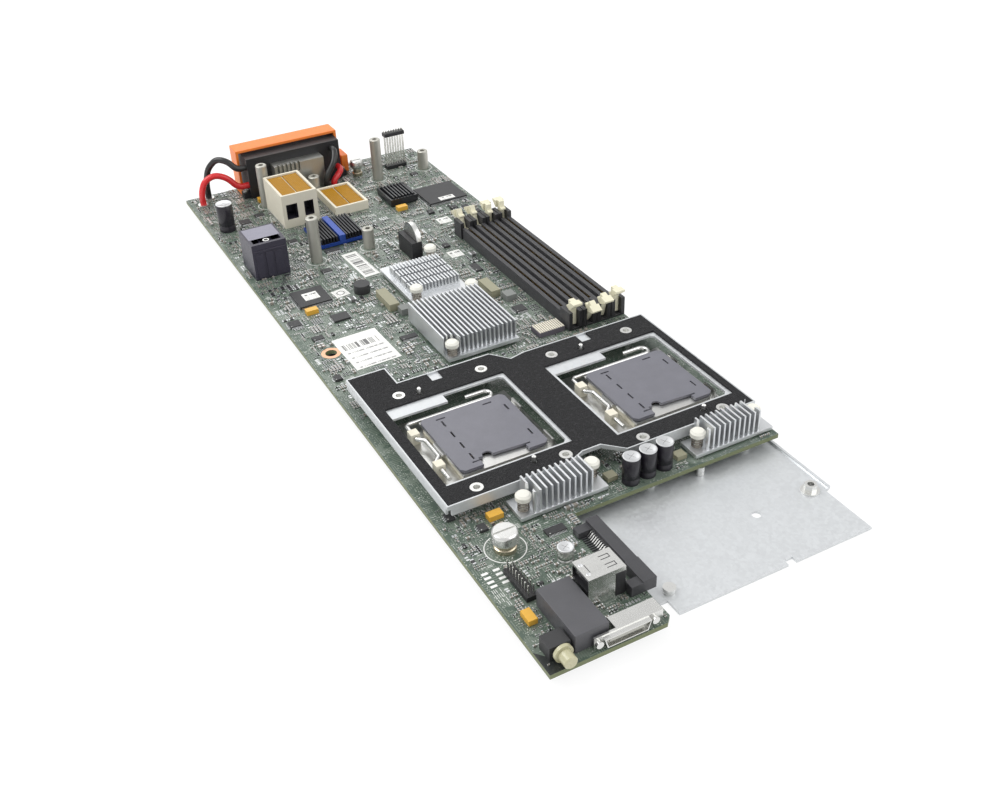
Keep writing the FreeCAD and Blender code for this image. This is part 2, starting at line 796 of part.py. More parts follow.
def load_plate(side):
    x, y = SIDES[side]
    right = f"{x} + hinge_x - plate_hinge_gap"
    left = f"{x} + plate_left"
    half = "plate_depth / 2"
    nose_x = f"{x} + lever_crank + lever_wire + nose_gap"
    outline = [(left, f"{y} - {half}"), (right, f"{y} - {half}"), (right, f"{y} + {half}"),
               (left, f"{y} + {half}"), (left, f"{y} + nose_width / 2"), (nose_x, f"{y} + nose_width / 2 - 1"),
               (nose_x, f"{y} - nose_width / 2 + 1"), (left, f"{y} - nose_width / 2")]
    sheet = prism(outline, "plate_rise", "plate_thick")
    middle_x = f"({left} + {right}) / 2"
    window = block(f"{middle_x} - plate_window_width / 2", f"{y} - plate_window_depth / 2",
                   "plate_rise - plate_thick", "plate_window_width", "plate_window_depth", "3 * plate_thick")
    pieces = [cut(sheet, [window])]
    for middle in (-1, 1):
        start = f"{y} + {middle} * hinge_pin_y - hinge_pin_length / 2"
        reach = "hinge_pin_length + 2 * hinge_side_gap + 2 * ear_thick"
        pin_start = f"{y} + {middle} * hinge_pin_y - ({reach}) / 2"
        pieces.append(disc(f"{x} + hinge_x", pin_start, "hinge_rise", "hinge_pin_radius", reach, ALONG_Y))
        pieces.append(block(f"{right} - 1", start, "plate_rise", "plate_hinge_gap + 1", "hinge_pin_length",
                            "plate_thick"))
        pieces.append(disc(f"{x} + hinge_x", start, "hinge_rise", "ear_radius", "hinge_pin_length", ALONG_Y))
    return finish(f"load_plate_{side}", fuse(pieces))


def wire_path(points, radii):
    """Straight runs through the points, each corner rounded by a tangent arc of its own radius."""
    corners = [FreeCAD.Vector(*point) for point in points]
    edges = []
    start = corners[0]
    for index in range(1, len(corners) - 1):
        before, corner, after = corners[index - 1], corners[index], corners[index + 1]
        into = (corner - before).normalize()
        out = (after - corner).normalize()
        turn = into.getAngle(out)
        radius = radii[index - 1]
        reach = radius * math.tan(turn / 2)
        first, last = corner - into * reach, corner + out * reach
        middle_way = (out - into).normalize()
        centre = corner + middle_way * (radius / math.cos(turn / 2))
        middle = centre - middle_way * radius
        if (first - start).Length > 1e-6:
            edges.append(Part.LineSegment(start, first).toShape())
        edges.append(Part.Arc(first, middle, last).toShape())
        start = last
    edges.append(Part.LineSegment(start, corners[-1]).toShape())
    return Part.Wire(edges)


def tube_along(points, radii, radius):
    """A round solid swept along the rounded path, its volume compared with section times length."""
    path = wire_path(points, radii)
    first = path.Edges[0]
    direction = first.tangentAt(first.FirstParameter)
    circle = Part.Wire([Part.makeCircle(radius, path.Edges[0].Vertexes[0].Point, direction)])
    shape = path.makePipeShell([circle], True, False)
    expected = math.pi * radius ** 2 * path.Length
    if abs(shape.Volume / expected - 1) > 0.01:
        raise ValueError(f"sweep volume {shape.Volume:.1f} differs from {expected:.1f}")
    return shape


def side_place(side):
    x, y = size("socket_x"), size("socket_y")
    if side == "right":
        x += size("socket_shift")
        y -= size("stagger")
    return x, y


def load_lever(side):
    """A bent wire: tail, crank over the plate's nose, long arm and hooked end, flat at rest."""
    x, y = side_place(side)
    z = size("lever_rise")
    crank_x = x + size("lever_crank")
    half_block = size("lever_block_thick") / 2
    crank_front = y + size("lever_block_front") + half_block + size("lever_wire")
    crank_rear = y + size("lever_block_rear") - half_block - size("lever_wire")
    slope = size("lever_crank")
    arm_y = y + size("lever_arm_y")
    end_x = x + size("lever_arm_end")
    hook_y = arm_y + size("lever_hook_width")
    bend = size("lever_bend")
    hook_bend = size("lever_hook_width") / 2
    points = [(x, y + size("lever_tail"), z), (x, crank_front, z), (crank_x, crank_front + slope, z),
              (crank_x, crank_rear - slope, z), (x, crank_rear, z), (x, arm_y, z),
              (end_x + hook_bend, arm_y, z), (end_x + hook_bend, hook_y, z),
              (end_x - size("lever_hook_back"), hook_y, z)]
    radii = [bend / 2, bend / 2, bend / 2, bend / 2, bend, hook_bend - 0.01, hook_bend - 0.01]
    return finish(f"load_lever_{side}", solid(tube_along(points, radii, size("lever_wire"))))


def socket_cap(side):
    """A cover whose front edge steps back over the socket's ivory edge, with pick-up slots in its top."""
    x, y = SIDES[side]
    left, right, half = f"{x} + cap_left", f"{x} + cap_right", "cap_depth / 2"
    front, rear, corner = f"{y} - {half}", f"{y} + {half}", "cap_corner"
    step, step_end = f"{left} + cap_recess_x", f"{left} + cap_recess_x + cap_recess_width"
    outline = [(f"{left} + {corner}", front), (step, front), (step, f"{front} + cap_recess_depth"),
               (step_end, f"{front} + cap_recess_depth - cap_recess_taper"), (step_end, front),
               (f"{right} - {corner}", front), (right, f"{front} + {corner}"),
               (right, f"{rear} - {corner}"), (f"{right} - {corner}", rear), (f"{left} + {corner}", rear),
               (left, f"{rear} - {corner}"), (left, f"{front} + {corner}")]
    floor = "plate_rise + plate_thick + cap_gap"
    shell = prism(outline, floor, f"cap_rise - ({floor})")
    room = block(f"{left} + cap_wall", f"{front} + cap_recess_depth + cap_wall", f"{floor} - 1",
                 "cap_right - cap_left - 2 * cap_wall", "cap_depth - cap_recess_depth - 2 * cap_wall",
                 f"cap_rise - ({floor}) + 1 - cap_top_thick")
    arch = disc(f"{left} + cap_arch_x", f"{front} + cap_recess_depth", f"{floor} - 1", "cap_arch_radius",
                "2 * cap_rise")
    slots = [block(f"({left} + {right}) / 2 + {shift}", f"{place_y} - cap_slot_width / 2", floor,
                   "cap_slot_length", "cap_slot_width", "cap_rise")
             for shift in (-16, 10) for place_y in (f"{front} + cap_slot_edge", f"{rear} - cap_slot_edge")]
    upright = [(f"{left} + cap_slot_inset", middle) for middle in (-15, -5, 5, 15)]
    upright += [(f"{right} - cap_slot_edge", middle) for middle in (-12, 12)]
    slots += [block(f"{place_x} - cap_slot_width / 2", f"{y} + {middle} - cap_slot_length / 2", floor,
                    "cap_slot_width", "cap_slot_length", "cap_rise") for place_x, middle in upright]
    return finish(f"socket_cap_{side}", cut(shell, [room, arch] + slots))


# Heat sinks
def fins(x, y, z, width, depth, rise, count):
    step = f"({width} - fin_thick) / {count - 1}"
    return [block(f"{x} + {index} * {step}", y, z, "fin_thick", depth, rise) for index in range(count)]


PUSHPIN_SPOTS = {
    "regulator_left": [("regulator_left_x + 4.1", "regulator_left_y + 5.5"),
                       ("regulator_left_x + 43.1", "regulator_left_y + 10.4")],
    "regulator_right": [("regulator_right_x + 5", "regulator_right_y + 6.3"),
                        ("regulator_right_x + 39.4", "regulator_right_y + 8.2")],
    "chipset": [("chipset_x + 4", "chipset_y + 3.8"), ("chipset_x + chipset_pin_x", "chipset_y + chipset_pin_y")],
    "rear_chipset": [("rear_chipset_x + 4.2", "rear_chipset_y + 3.4"),
                     ("rear_chipset_x + 33.4", "rear_chipset_y + 45.6")],
}


def pin_rooms(name):
    """The holes of the push-pins and the room for their heads between the fins."""
    holes = holes_at(PUSHPIN_SPOTS[name], "pushpin_radius + hole_clearance", "-1", "2 * pushpin_rise")
    rooms = holes_at(PUSHPIN_SPOTS[name], "pushpin_head + 2 * hole_clearance", pin_base(name),
                     "2 * pushpin_rise")
    return holes + rooms


def regulator_heatsink(side):
    name = f"regulator_{side}"
    x, y = f"{name}_x", f"{name}_y"
    base = block(x, y, "chip_rise", "regulator_width", f"{name}_depth", "sink_base_thick")
    floor = "chip_rise + sink_base_thick / 2"
    pieces = fins(f"{x} + regulator_fin_inset", f"{y} + regulator_fin_front", floor,
                  "regulator_fin_width", f"{name}_depth - 2 * regulator_fin_front",
                  f"regulator_top - ({floor})", 11)
    return finish(f"regulator_heatsink_{side}", cut(fuse([base] + pieces), pin_rooms(name)))


def chipset_heatsink_front():
    base = block("chipset_x", "chipset_y", "chipset_chip_rise", "chipset_width", "chipset_depth",
                 "sink_base_thick")
    floor = "chipset_chip_rise + sink_base_thick / 2"
    ear_x, ear_y = "chipset_x + chipset_pin_x", "chipset_y + chipset_pin_y"
    ear = [disc(ear_x, ear_y, "chipset_chip_rise", "chipset_ear_radius", "sink_base_thick"),
           block(f"{ear_x} - chipset_ear_radius", "chipset_y + chipset_depth - 1", "chipset_chip_rise",
                 "2 * chipset_ear_radius", "chipset_pin_y - chipset_depth + 1", "sink_base_thick")]
    pieces = ear + fins("chipset_x", "chipset_y + chipset_fin_inset", floor, "chipset_fin_width",
                  "chipset_fin_depth", f"chipset_top - ({floor})", 17)
    return finish("chipset_heatsink_front", cut(fuse([base] + pieces), pin_rooms("chipset")))


def chipset_heatsink_rear():
    base = block("rear_chipset_x", "rear_chipset_y", "chipset_chip_rise", "rear_chipset_width",
                 "rear_chipset_depth", "sink_base_thick")
    floor = "chipset_chip_rise + sink_base_thick"
    fin_x, fin_y = "rear_chipset_x + 2.5", "rear_chipset_y + rear_chipset_fin_inset"
    rows = 4
    row = f"(rear_chipset_fin_depth - {rows - 1} * fin_thick * 1.5) / {rows}"
    pieces = [block(fin_x, fin_y, floor, "rear_chipset_fin_width", "rear_chipset_fin_depth",
                    "rear_chipset_plinth")]
    for index in range(rows):
        y = f"{fin_y} + {index} * (({row}) + fin_thick * 1.5)"
        pieces += fins(fin_x, y, floor, "rear_chipset_fin_width", row,
                       f"rear_chipset_top - ({floor})", 15)
    return finish("chipset_heatsink_rear", cut(fuse([base] + pieces), pin_rooms("rear_chipset")))


def pin_base(name):
    rise = "chip_rise" if name.startswith("regulator") else "chipset_chip_rise"
    return f"{rise} + sink_base_thick"


def heatsink_pins():
    head = "pushpin_rise - pushpin_head_thick"
    profile = [("0", "0"), ("pushpin_radius", "0"), ("pushpin_radius", head), ("pushpin_head", head),
               ("pushpin_head", "pushpin_rise - pushpin_head_thick / 3"),
               ("pushpin_head - pushpin_head_thick / 3", "pushpin_rise"), ("0", "pushpin_rise")]
    pieces = [turned(x, y, "0", profile) for spots in PUSHPIN_SPOTS.values() for x, y in spots]
    return finish("heatsink_pins", group(pieces))


def heatsink_springs():
    pieces = []
    for name, spots in PUSHPIN_SPOTS.items():
        base = pin_base(name)
        rise = f"pushpin_rise - pushpin_head_thick - ({base})"
        for x, y in spots:
            coil = disc(x, y, base, "spring_radius", rise)
            room = disc(x, y, f"({base}) - 1", "spring_radius - spring_wire", f"({rise}) + 2")
            pieces.append(cut(coil, [room]))
    return finish("heatsink_springs", group(pieces))


def blue_heatsink():
    x, y = "blue_sink_x", "blue_sink_y"
    base = block(x, y, "chip_rise", "blue_sink_width", "blue_sink_depth", "sink_base_thick")
    bar = block(f"{x} + (blue_sink_width - blue_sink_bar) / 2", y, "chip_rise", "blue_sink_bar",
                "blue_sink_depth", "blue_sink_top - chip_rise")
    side = "(blue_sink_width - blue_sink_bar) / 2 - 2"
    pieces = [base, bar]
    for start in (f"{x} + 1", f"{x} + (blue_sink_width + blue_sink_bar) / 2 + 1"):
        pieces += fins(start, f"{y} + 1", "chip_rise + sink_base_thick / 2", side, "blue_sink_depth - 2",
                       "blue_sink_top - chip_rise - sink_base_thick / 2 - 0.6", 6)
    return finish("blue_heatsink", fuse(pieces))


def black_heatsink():
    """Fins that stand inside a low wall round the base."""
    wall, floor = "black_sink_wall", "chip_rise + sink_base_thick"
    tray = block("black_sink_x", "black_sink_y", "chip_rise", "black_sink_width", "black_sink_depth",
                 "black_sink_wall_top - chip_rise")
    room = block(f"black_sink_x + {wall}", f"black_sink_y + {wall}", floor, f"black_sink_width - 2 * {wall}",
                 f"black_sink_depth - 2 * {wall}", "black_sink_top")
    pieces = fins(f"black_sink_x + 2 * {wall}", f"black_sink_y + {wall}", f"{floor} - sink_base_thick / 2",
                  f"black_sink_width - 4 * {wall}", f"black_sink_depth - 2 * {wall}",
                  f"black_sink_top - ({floor}) + sink_base_thick / 2", 7)
    return finish("black_heatsink", fuse([cut(tray, [room])] + pieces))


# Memory
def memory_socket(index):
    middle = f"memory_x + {index} * memory_pitch"
    rails_y = "memory_front + tower_length"
    rails_length = "memory_length - 2 * tower_length"
    rails = block(f"{middle} - memory_width / 2", rails_y, "0", "memory_width", rails_length, "memory_rise")
    pieces, tools = [rails], []
    tools.append(block(f"{middle} - memory_slot / 2", f"{rails_y} - 1", "memory_slot_floor", "memory_slot",
                       f"{rails_length} + 2", "memory_rise"))
    for end in (0, 1):
        start = f"memory_front + {end} * (memory_length - tower_length)"
        pieces.append(block(f"{middle} - tower_width / 2", start, "0", "tower_width", "tower_length",
                            "tower_rise"))
        tools.append(block(f"{middle} - tower_gap / 2", f"{start} - {1 - end}", "tower_floor", "tower_gap",
                           "tower_length + 1", "tower_rise"))
        hinge_y = latch_hinge_y(end)
        tools.append(disc(f"{middle} - latch_pin_length / 2 - hole_clearance", hinge_y, "latch_hinge_rise",
                          "latch_pin_radius + latch_pin_clearance",
                          "latch_pin_length + 2 * hole_clearance", ALONG_X))
    return finish(f"memory_socket_{index + 1}", cut(fuse(pieces), tools))


def latch_hinge_y(end):
    if end == 0:
        return "memory_front + latch_inset"
    return "memory_front + memory_length - latch_inset"


# Opening angle of each latch as the photograph shows it, front and rear of sockets one to four
LATCH_REST = {"front": (0, 28, 15, 0), "rear": (25, 25, 0, 0)}


def memory_latch(index, end):
    """An ivory lever with a thumb piece, a hook over the module and a foot that lifts it."""
    out = -1 if end == "front" else 1
    y = [f"{out} * ({text})" for text in ("latch_thumb_reach", "latch_stem_half", "-latch_stem_half",
                                          "-latch_hook_reach", "-latch_foot_reach")]
    reach, outer, inner, hook, foot = y
    top = "latch_rise"
    profile = [(outer, "-latch_stem_half"), (outer, f"{top} - 2 * latch_thumb_thick"),
               (reach, f"{top} - latch_thumb_thick / 2"), (reach, top), (inner, top),
               (inner, "latch_hook_rise + 1.6"), (hook, "latch_hook_rise + 0.8"), (hook, "latch_hook_rise"),
               (inner, "latch_hook_rise - 1"), (inner, "1"), (foot, "0.2"), (foot, "-1.2"),
               (inner, "-latch_stem_half")]
    stem = prism(profile, "-latch_stem_width / 2", "latch_stem_width", along="x")
    thumb_profile = [(outer, f"{top} - 2 * latch_thumb_thick"), (reach, f"{top} - latch_thumb_thick / 2"),
                     (reach, top), (outer, top)]
    thumb = prism(thumb_profile, "-latch_thumb_width / 2", "latch_thumb_width", along="x")
    pin = disc("-latch_pin_length / 2", "0", "0", "latch_pin_radius", "latch_pin_length", ALONG_X)
    lean = FreeCAD.Rotation(FreeCAD.Vector(1, 0, 0), -out * LATCH_REST[end][index])
    item = fuse([stem, thumb, pin])
    return finish(f"memory_latch_{index + 1}_{end}", item, f"{ON_BOARD} + latch_hinge_rise",
                  f"memory_x + {index} * memory_pitch", latch_hinge_y(0 if end == "front" else 1), lean)


# Rear connector
def rear_connector_body():
    x, y = "connector_x", "connector_y"
    shell = block(x, y, "0", "connector_width", "connector_depth", "connector_rise")
    room = block(f"{x} + connector_wall", f"{y} + connector_depth - connector_recess", "connector_wall",
                 "connector_width - 2 * connector_wall", "connector_recess + 1",
                 "connector_rise - 2 * connector_wall")
    wafers = [block(f"{x} + connector_wall + {index} * (connector_width - 2 * connector_wall) / 12 - wafer_thick / 2",
                    f"{y} + connector_depth - connector_recess - 1", "connector_wall / 2", "wafer_thick",
                    "connector_recess - 1", "connector_rise - connector_wall") for index in range(1, 12)]
    ears = [block(f"{x} - ear_reach", f"{y} + 2.6", "0", "ear_reach + 1", "6", "ear_rise"),
            block(f"{x} + connector_width - 1", f"{y} + 2.6", "0", "ear_reach + 1", "6", "ear_rise")]
    return finish("rear_connector_body", fuse([cut(shell, [room])] + wafers + ears))


def rear_connector_guard():
    y = "board_length - guard_depth"
    shell = block("guard_x", y, "0", "guard_width", "guard_depth", "guard_rise")
    room = block("guard_x + guard_wall", f"{y} - 1", "-1", "guard_width - 2 * guard_wall",
                 "guard_depth + 2", "guard_rise - guard_wall + 1")
    foot = block("guard_foot_x", y, "0", "guard_foot_width", "guard_depth", "guard_foot_rise")
    link = block("guard_x + guard_width - guard_wall", f"{y} + guard_depth / 2", "0",
                 "guard_foot_x - guard_x - guard_width + guard_wall + 1", "guard_wall", "guard_foot_rise")
    return finish("rear_connector_guard", fuse([cut(shell, [room]), foot, link]))


def rear_connector_shield():
    y = "connector_y - shield_depth"
    shell = block("shield_x", y, "0", "shield_width", "shield_depth", "shield_rise")
    tools = [block(f"shield_x + 2 + {index} * 2 * shield_tooth", f"{y} - 1", "shield_rise - 6",
                   "shield_tooth", "4", "8") for index in range(6)]
    return finish("rear_connector_shield", cut(shell, tools))


def rear_connector_screws():
    ear_y = "connector_y + 5.6"
    spots = [("connector_x - ear_reach / 2", ear_y), ("connector_x + connector_width + ear_reach / 2", ear_y)]
    pieces = []
    for x, y in spots:
        head = disc(x, y, "ear_rise", "screw_head_radius", "screw_head_rise")
        drive = disc(x, y, "ear_rise + screw_head_rise / 2", "screw_head_radius / 2", "screw_head_rise")
        pieces.append(cut(head, [drive]))
    for x, y in LUG_SPOTS:
        pieces.append(disc(str(x), str(y), "0", "lug_radius", "lug_thick"))
    return finish("rear_connector_screws", group(pieces))


LUG_SPOTS = [(8.5, 487), (15, 496)]
# Routes of the leads, heights counted from the board's top
RED_ROUTES = [
    [(8.5, 487, 1.2), (8.5, 487, 9.5), (12, 486.9, 17.5), (19.5, 486.2, 20.5), (27, 484.2, 17.5),
     (33.5, 482, 9.6), (41, 482, 9.6)],
    [(106.5, 479, 9.6), (106.5, 472.5, 9.6), (102.5, 467.5, 8.8), (97.6, 465.6, 5.6), (97.6, 465.6, 0)],
]
BLACK_ROUTES = [
    [(15, 496, 1.2), (15, 496, 11.5), (17.5, 494.8, 22.5), (23.5, 491, 29.5), (29.5, 485.6, 28.5),
     (34.5, 482.4, 22.5), (41, 482.4, 22.5)],
    [(103, 479, 24.6), (103, 472.5, 24.6), (100, 466.8, 19), (92, 464.8, 9), (92, 464.8, 0)],
]


def lead_radii(points):
    """The largest tangent arcs that the runs beside each point allow."""
    corners = [FreeCAD.Vector(*point) for point in points]
    radii = []
    for index in range(1, len(corners) - 1):
        into, out = corners[index] - corners[index - 1], corners[index + 1] - corners[index]
        turn = into.getAngle(out)
        radii.append(0.45 * min(into.Length, out.Length) / math.tan(turn / 2))
    return radii


def leads(node, routes):
    tubes = []
    for route in routes:
        radii = lead_radii(route)
        print(node, "bend radii", [round(radius, 1) for radius in radii])
        tubes.append(tube_along(route, radii, size("lead_radius")))
    return finish(node, solid(Part.makeCompound(tubes)))


# Stacking connectors and posts
def field_pocket(name):
    """The shallow bed of a connector's contact field, inside its raised rim."""
    return block(f"{name}_x + field_inset", "mezzanine_y + field_inset",
                 f"{name}_rise - field_recess - field_thick", f"{name}_width - 2 * field_inset",
                 "mezzanine_depth - 2 * field_inset", "field_recess + field_thick + 1")


def mezzanine_connector_tall():
    shell = block("tall_x", "mezzanine_y", "0", "tall_width", "mezzanine_depth", "tall_rise")
    tools = [block(f"tall_x + bay_{side}", "mezzanine_y - 1", "bay_floor", f"bay_{side}_width",
                   "bay_depth + 1", "bay_rise") for side in ("left", "right")]
    return finish("mezzanine_connector_tall", cut(shell, tools + [field_pocket("tall")]))


def mezzanine_connector_short():
    shell = block("short_x", "mezzanine_y", "0", "short_width", "mezzanine_depth", "short_rise")
    return finish("mezzanine_connector_short", cut(shell, [field_pocket("short")]))


def mezzanine_covers():
    pieces = []
    for name in ("tall", "short"):
        inset = "(field_inset + field_clearance)"
        half = f"({name}_width - 2 * {inset} - field_seam) / 2"
        for index in range(2):
            x = f"{name}_x + {inset} + {index} * (({half}) + field_seam)"
            pieces.append(block(x, f"mezzanine_y + {inset}", f"{name}_rise - field_recess - field_thick", half,
                                f"mezzanine_depth - 2 * {inset}", "field_thick"))
    return finish("mezzanine_covers", group(pieces))


def threaded_posts():
    def post(x, y, rise):
        floor = f"{rise} - post_bore_depth"
        profile = [("0", "0"), ("post_radius", "0"), ("post_radius", f"{rise} - 0.4"),
                   ("post_radius - 0.4", rise), ("post_bore", rise), ("post_bore", floor), ("0", floor)]
        return turned(x, y, "0", profile)
    pieces = []
    for name in ("tall", "short"):
        x, rise = f"{name}_post_x", f"{name}_post_rise"
        pieces.append(post(x, "post_y", rise))
        pieces.append(post(x, "post_y + post_spacing_y", rise))
        pieces.append(post(f"{x} + post_spacing_x", "post_y + post_spacing_y", rise))
    return finish("threaded_posts", group(pieces))


# Captive thumbscrews
def thumbscrew(name):
    head, top, head_rise = f"{name}_screw_head", f"{name}_screw_top", f"{name}_screw_head_rise"
    foot = f"{top} - {head_rise}"
    profile = [("0", "-board_thick - shank_below"), ("shank_radius - 0.4", "-board_thick - shank_below"),
               ("shank_radius", "-board_thick - shank_below + 0.6"), ("shank_radius", foot),
               (f"{name}_screw_neck", foot), (head, f"{foot} + {name}_screw_flare"), (f"{head} - 0.5", f"{top} - 0.6"),
               (f"{head} - 1.2", top), ("0", top)]
    knob = turned("0", "0", "0", profile)
    slot = block(f"-{head}", "-0.5", f"{top} - 1", f"2 * {head}", "1", "2")
    return finish(f"{name}_thumbscrew", cut(knob, [slot]), ON_BOARD, f"{name}_screw_x", f"{name}_screw_y")


def thumbscrew_ferrules():
    pieces = []
    for name in ("front", "rear"):
        radius, rise = f"{name}_ferrule_radius", f"{name}_ferrule_rise"
        bore = "shank_radius + shank_clearance"
        profile = [(bore, "0"), (radius, "0"), (radius, f"{rise} / 2"), (f"{radius} - 0.6", f"{rise} / 2 + 0.4"),
                   (f"{radius} - 0.6", rise), (bore, rise)]
        pieces.append(turned(f"{name}_screw_x", f"{name}_screw_y", "0", profile))
    return finish("thumbscrew_ferrules", group(pieces))


# Other parts of the board
def power_receptacle():
    x, y, wall = "receptacle_x", "receptacle_y", "receptacle_wall"
    shell = block(x, y, "0", "receptacle_width", "receptacle_depth", "receptacle_rise")
    pocket = block(f"{x} + {wall}", f"{y} + {wall}", "receptacle_rise - receptacle_recess",
                   f"receptacle_width - 2 * {wall}", f"receptacle_depth - 2 * {wall}", "receptacle_recess + 1")
    blades = [block(f"{x} + receptacle_width / 3 * {index} - 0.6", f"{y} + 2 * {wall}",
                    "receptacle_rise - receptacle_recess - 1", "1.2", f"receptacle_depth - 4 * {wall}",
                    "receptacle_recess - 1") for index in (1, 2)]
    return finish("power_receptacle", fuse([cut(shell, [pocket])] + blades))


def battery_holder():
    cell_x = "holder_x + holder_width - cell_thick - hole_clearance"
    shell = block("holder_x", "holder_y", "0", "holder_width", "holder_depth", "holder_rise")
    middle = "holder_y + holder_depth / 2"
    room = disc(cell_x, middle, "cell_radius + cell_lift", "cell_radius + hole_clearance",
                "cell_thick + 2 * hole_clearance + 1", ALONG_X)
    return finish("battery_holder", cut(shell, [room]))


def coin_cell():
    face_x = "holder_x + holder_width - cell_thick"
    middle = "holder_y + holder_depth / 2"
    can = disc(face_x, middle, "cell_radius + cell_lift", "cell_radius", "cell_thick", ALONG_X)
    return finish("coin_cell", group([can]))


def pin_headers():
    pieces = [block("header_x", "header_y", "0", "header_width", "header_depth", "header_strip"),
              block("header_x", "header_y", "header_upper", "header_width", "header_depth",
                    "header_upper_strip")]
    inset = "(header_depth - header_pitch) / 2"
    for column in range(8):
        for row in range(2):
            pieces.append(block(f"header_x + 0.7 + {column} * header_pitch - header_pin / 2",
                                f"header_y + {inset} + {row} * header_pitch - header_pin / 2", "0",
                                "header_pin", "header_pin", "header_pin_rise"))
    front = [block("front_header_x", "front_header_y", "0", "2.15 * front_header_pitch", "8 * front_header_pitch",
                   "header_strip")]
    for column in range(2):
        for row in range(8):
            front.append(block(f"front_header_x + 1.46 + {column} * front_header_pitch - header_pin / 2",
                               f"front_header_y + 1.27 + {row} * front_header_pitch - header_pin / 2", "0",
                               "header_pin", "header_pin", "front_header_rise"))
    return finish("pin_headers", group([fuse(pieces), fuse(front)]))


def usb_stack():
    shell = block("usb_x", "usb_y", "0", "usb_length", "usb_width", "usb_rise")
    pieces, tools = [], []
    for index in range(2):
        floor = f"1.2 + {index} * (usb_port_rise + 1.8)"
        tools.append(block("usb_x - 1", "usb_y + usb_wall", floor, "usb_length - 2", "usb_width - 2 * usb_wall",
                           "usb_port_rise"))
        pieces.append(block("usb_x + 1", "usb_y + usb_wall + 0.8", f"{floor} + (usb_port_rise - usb_tongue) / 2",
                            "usb_length - 2", "usb_width - 2 * usb_wall - 1.6", "usb_tongue"))
    return finish("usb_stack", fuse([cut(shell, tools)] + pieces))


def drive_connector():
    x, y = "drive_x", "drive_y"
    bar = block("drive_bar_x", y, "0", "drive_bar_width", "drive_length", "drive_rise")
    flange = block("drive_bar_x - drive_flange_reach", y, "0", "drive_bar_width + drive_flange_reach",
                   "drive_flange", "drive_flange_rise")
    arms = [flange,
            block(x, y, "0", "drive_bar_x - drive_x + 1", "drive_arm", "drive_rise"),
            block(x, f"{y} + drive_length - drive_arm", "0", "drive_bar_x - drive_x + 1", "drive_arm",
                  "drive_arm_rise")]
    slot = block("drive_bar_x + drive_bar_width - 3", f"{y} + 3", "drive_rise - 4", "4", "drive_length - 6",
                 "2.4")
    tails = [block(f"{x} + 1", f"{y} + 23 + {index} * 1.4", "0", "drive_bar_x - drive_x", "0.5", "0.8")
             for index in range(13)]
    return finish("drive_connector", fuse([cut(fuse([bar] + arms), [slot])] + tails))


def front_io_connector():
    """A bracket with a flange, a shell with slanted sides and a jack nut at either end of it."""
    bracket = block("io_x", "io_y", "0", "io_width", "io_depth", "io_rise")

    def shell_side(inset):
        left, right = f"io_shell_x + {inset}", f"io_shell_x + io_shell_width - {inset}"
        floor, top = f"0.5 + {inset}", f"0.5 + io_shell_rise - {inset}"
        return [(f"{left} + io_shell_slant", floor), (f"{right} - io_shell_slant", floor), (right, top), (left, top)]

    shell = prism(shell_side("0"), "io_shell_y", "io_y - io_shell_y", along="y")
    room = prism(shell_side("io_shell_wall"), "io_shell_y - 1", "io_y - io_shell_y", along="y")
    tongue = block("io_shell_x + 3", "io_shell_y + 1", "io_shell_rise / 2 - 0.2", "io_shell_width - 6",
                   "io_y - io_shell_y - 1", "1.4")
    flange = block("io_shell_x - io_flange_reach", "io_y - 1", "0",
                   "io_x + io_width - io_shell_x + io_flange_reach", "1", "io_rise")
    nuts = [disc(x, "io_shell_y + 0.6", "io_rise / 2", "io_nut_radius", "io_y - io_shell_y - 0.6", ALONG_Y)
            for x in ("io_shell_x - io_nut_radius", "io_shell_x + io_shell_width + io_nut_radius + 1")]
    return finish("front_io_connector", fuse([bracket, cut(fuse([shell, flange]), [room]), tongue] + nuts))


def front_shield():
    x, y = "corner_shield_x", "corner_shield_y"
    shell = block(x, y, "0", "corner_shield_width", "corner_shield_depth", "corner_shield_rise")
    room = block(f"{x} + corner_shield_wall", f"{y} + corner_shield_wall", "-1",
                 "corner_shield_width - 2 * corner_shield_wall",
                 "corner_shield_depth - 2 * corner_shield_wall", "corner_shield_rise - corner_shield_wall + 1")
    return finish("front_shield", cut(shell, [room]))


def power_button():
    """A stepped cap on a plunger, pressed towards the rear."""
    flange_end = "button_flange_y + button_flange_thick"
    profile = [("0", "-front_reach"), ("button_radius - 0.5", "-front_reach"),
               ("button_radius", "-front_reach + 0.5"), ("button_radius", "button_flange_y"),
               ("button_flange", "button_flange_y"), ("button_flange", flange_end),
               ("button_radius / 2", flange_end), ("button_radius / 2", "switch_y + 2"), ("0", "switch_y + 2")]
    cap = turned("0", "0", "0", profile, ALONG_Y)
    return finish("power_button", group([cap]), f"{ON_BOARD} + button_rise", "button_x")


# Capacitors and chips
CANS = [(92.2, 82.3, 4.25, 14.8), (101.9, 83, 4.25, 14.8), (111.8, 83.7, 4.25, 14.8),
        (11.5, 441.1, 5.3, 19.1), (38.9, 52.7, 3.7, 6.9)]
TANTALUMS = [(25.6, 92), (20.2, 307.3), (46.7, 472), (123.5, 407)]


def capacitors():
    pieces = []
    for x, y, radius, rise in CANS:
        profile = [(0, 0), (radius, 0), (radius, rise * 0.18), (radius - 0.25, rise * 0.2),
                   (radius - 0.25, rise * 0.24), (radius, rise * 0.26), (radius, rise - 0.4),
                   (radius - 0.4, rise), (0, rise)]
        pieces.append(turned(str(x), str(y), "0", profile))
    for x, y in TANTALUMS:
        pieces.append(block(f"{x} - 3.6", f"{y} - 2.1", "0", "7.2", "4.2", "2.8"))
    return finish("capacitors", group(pieces))


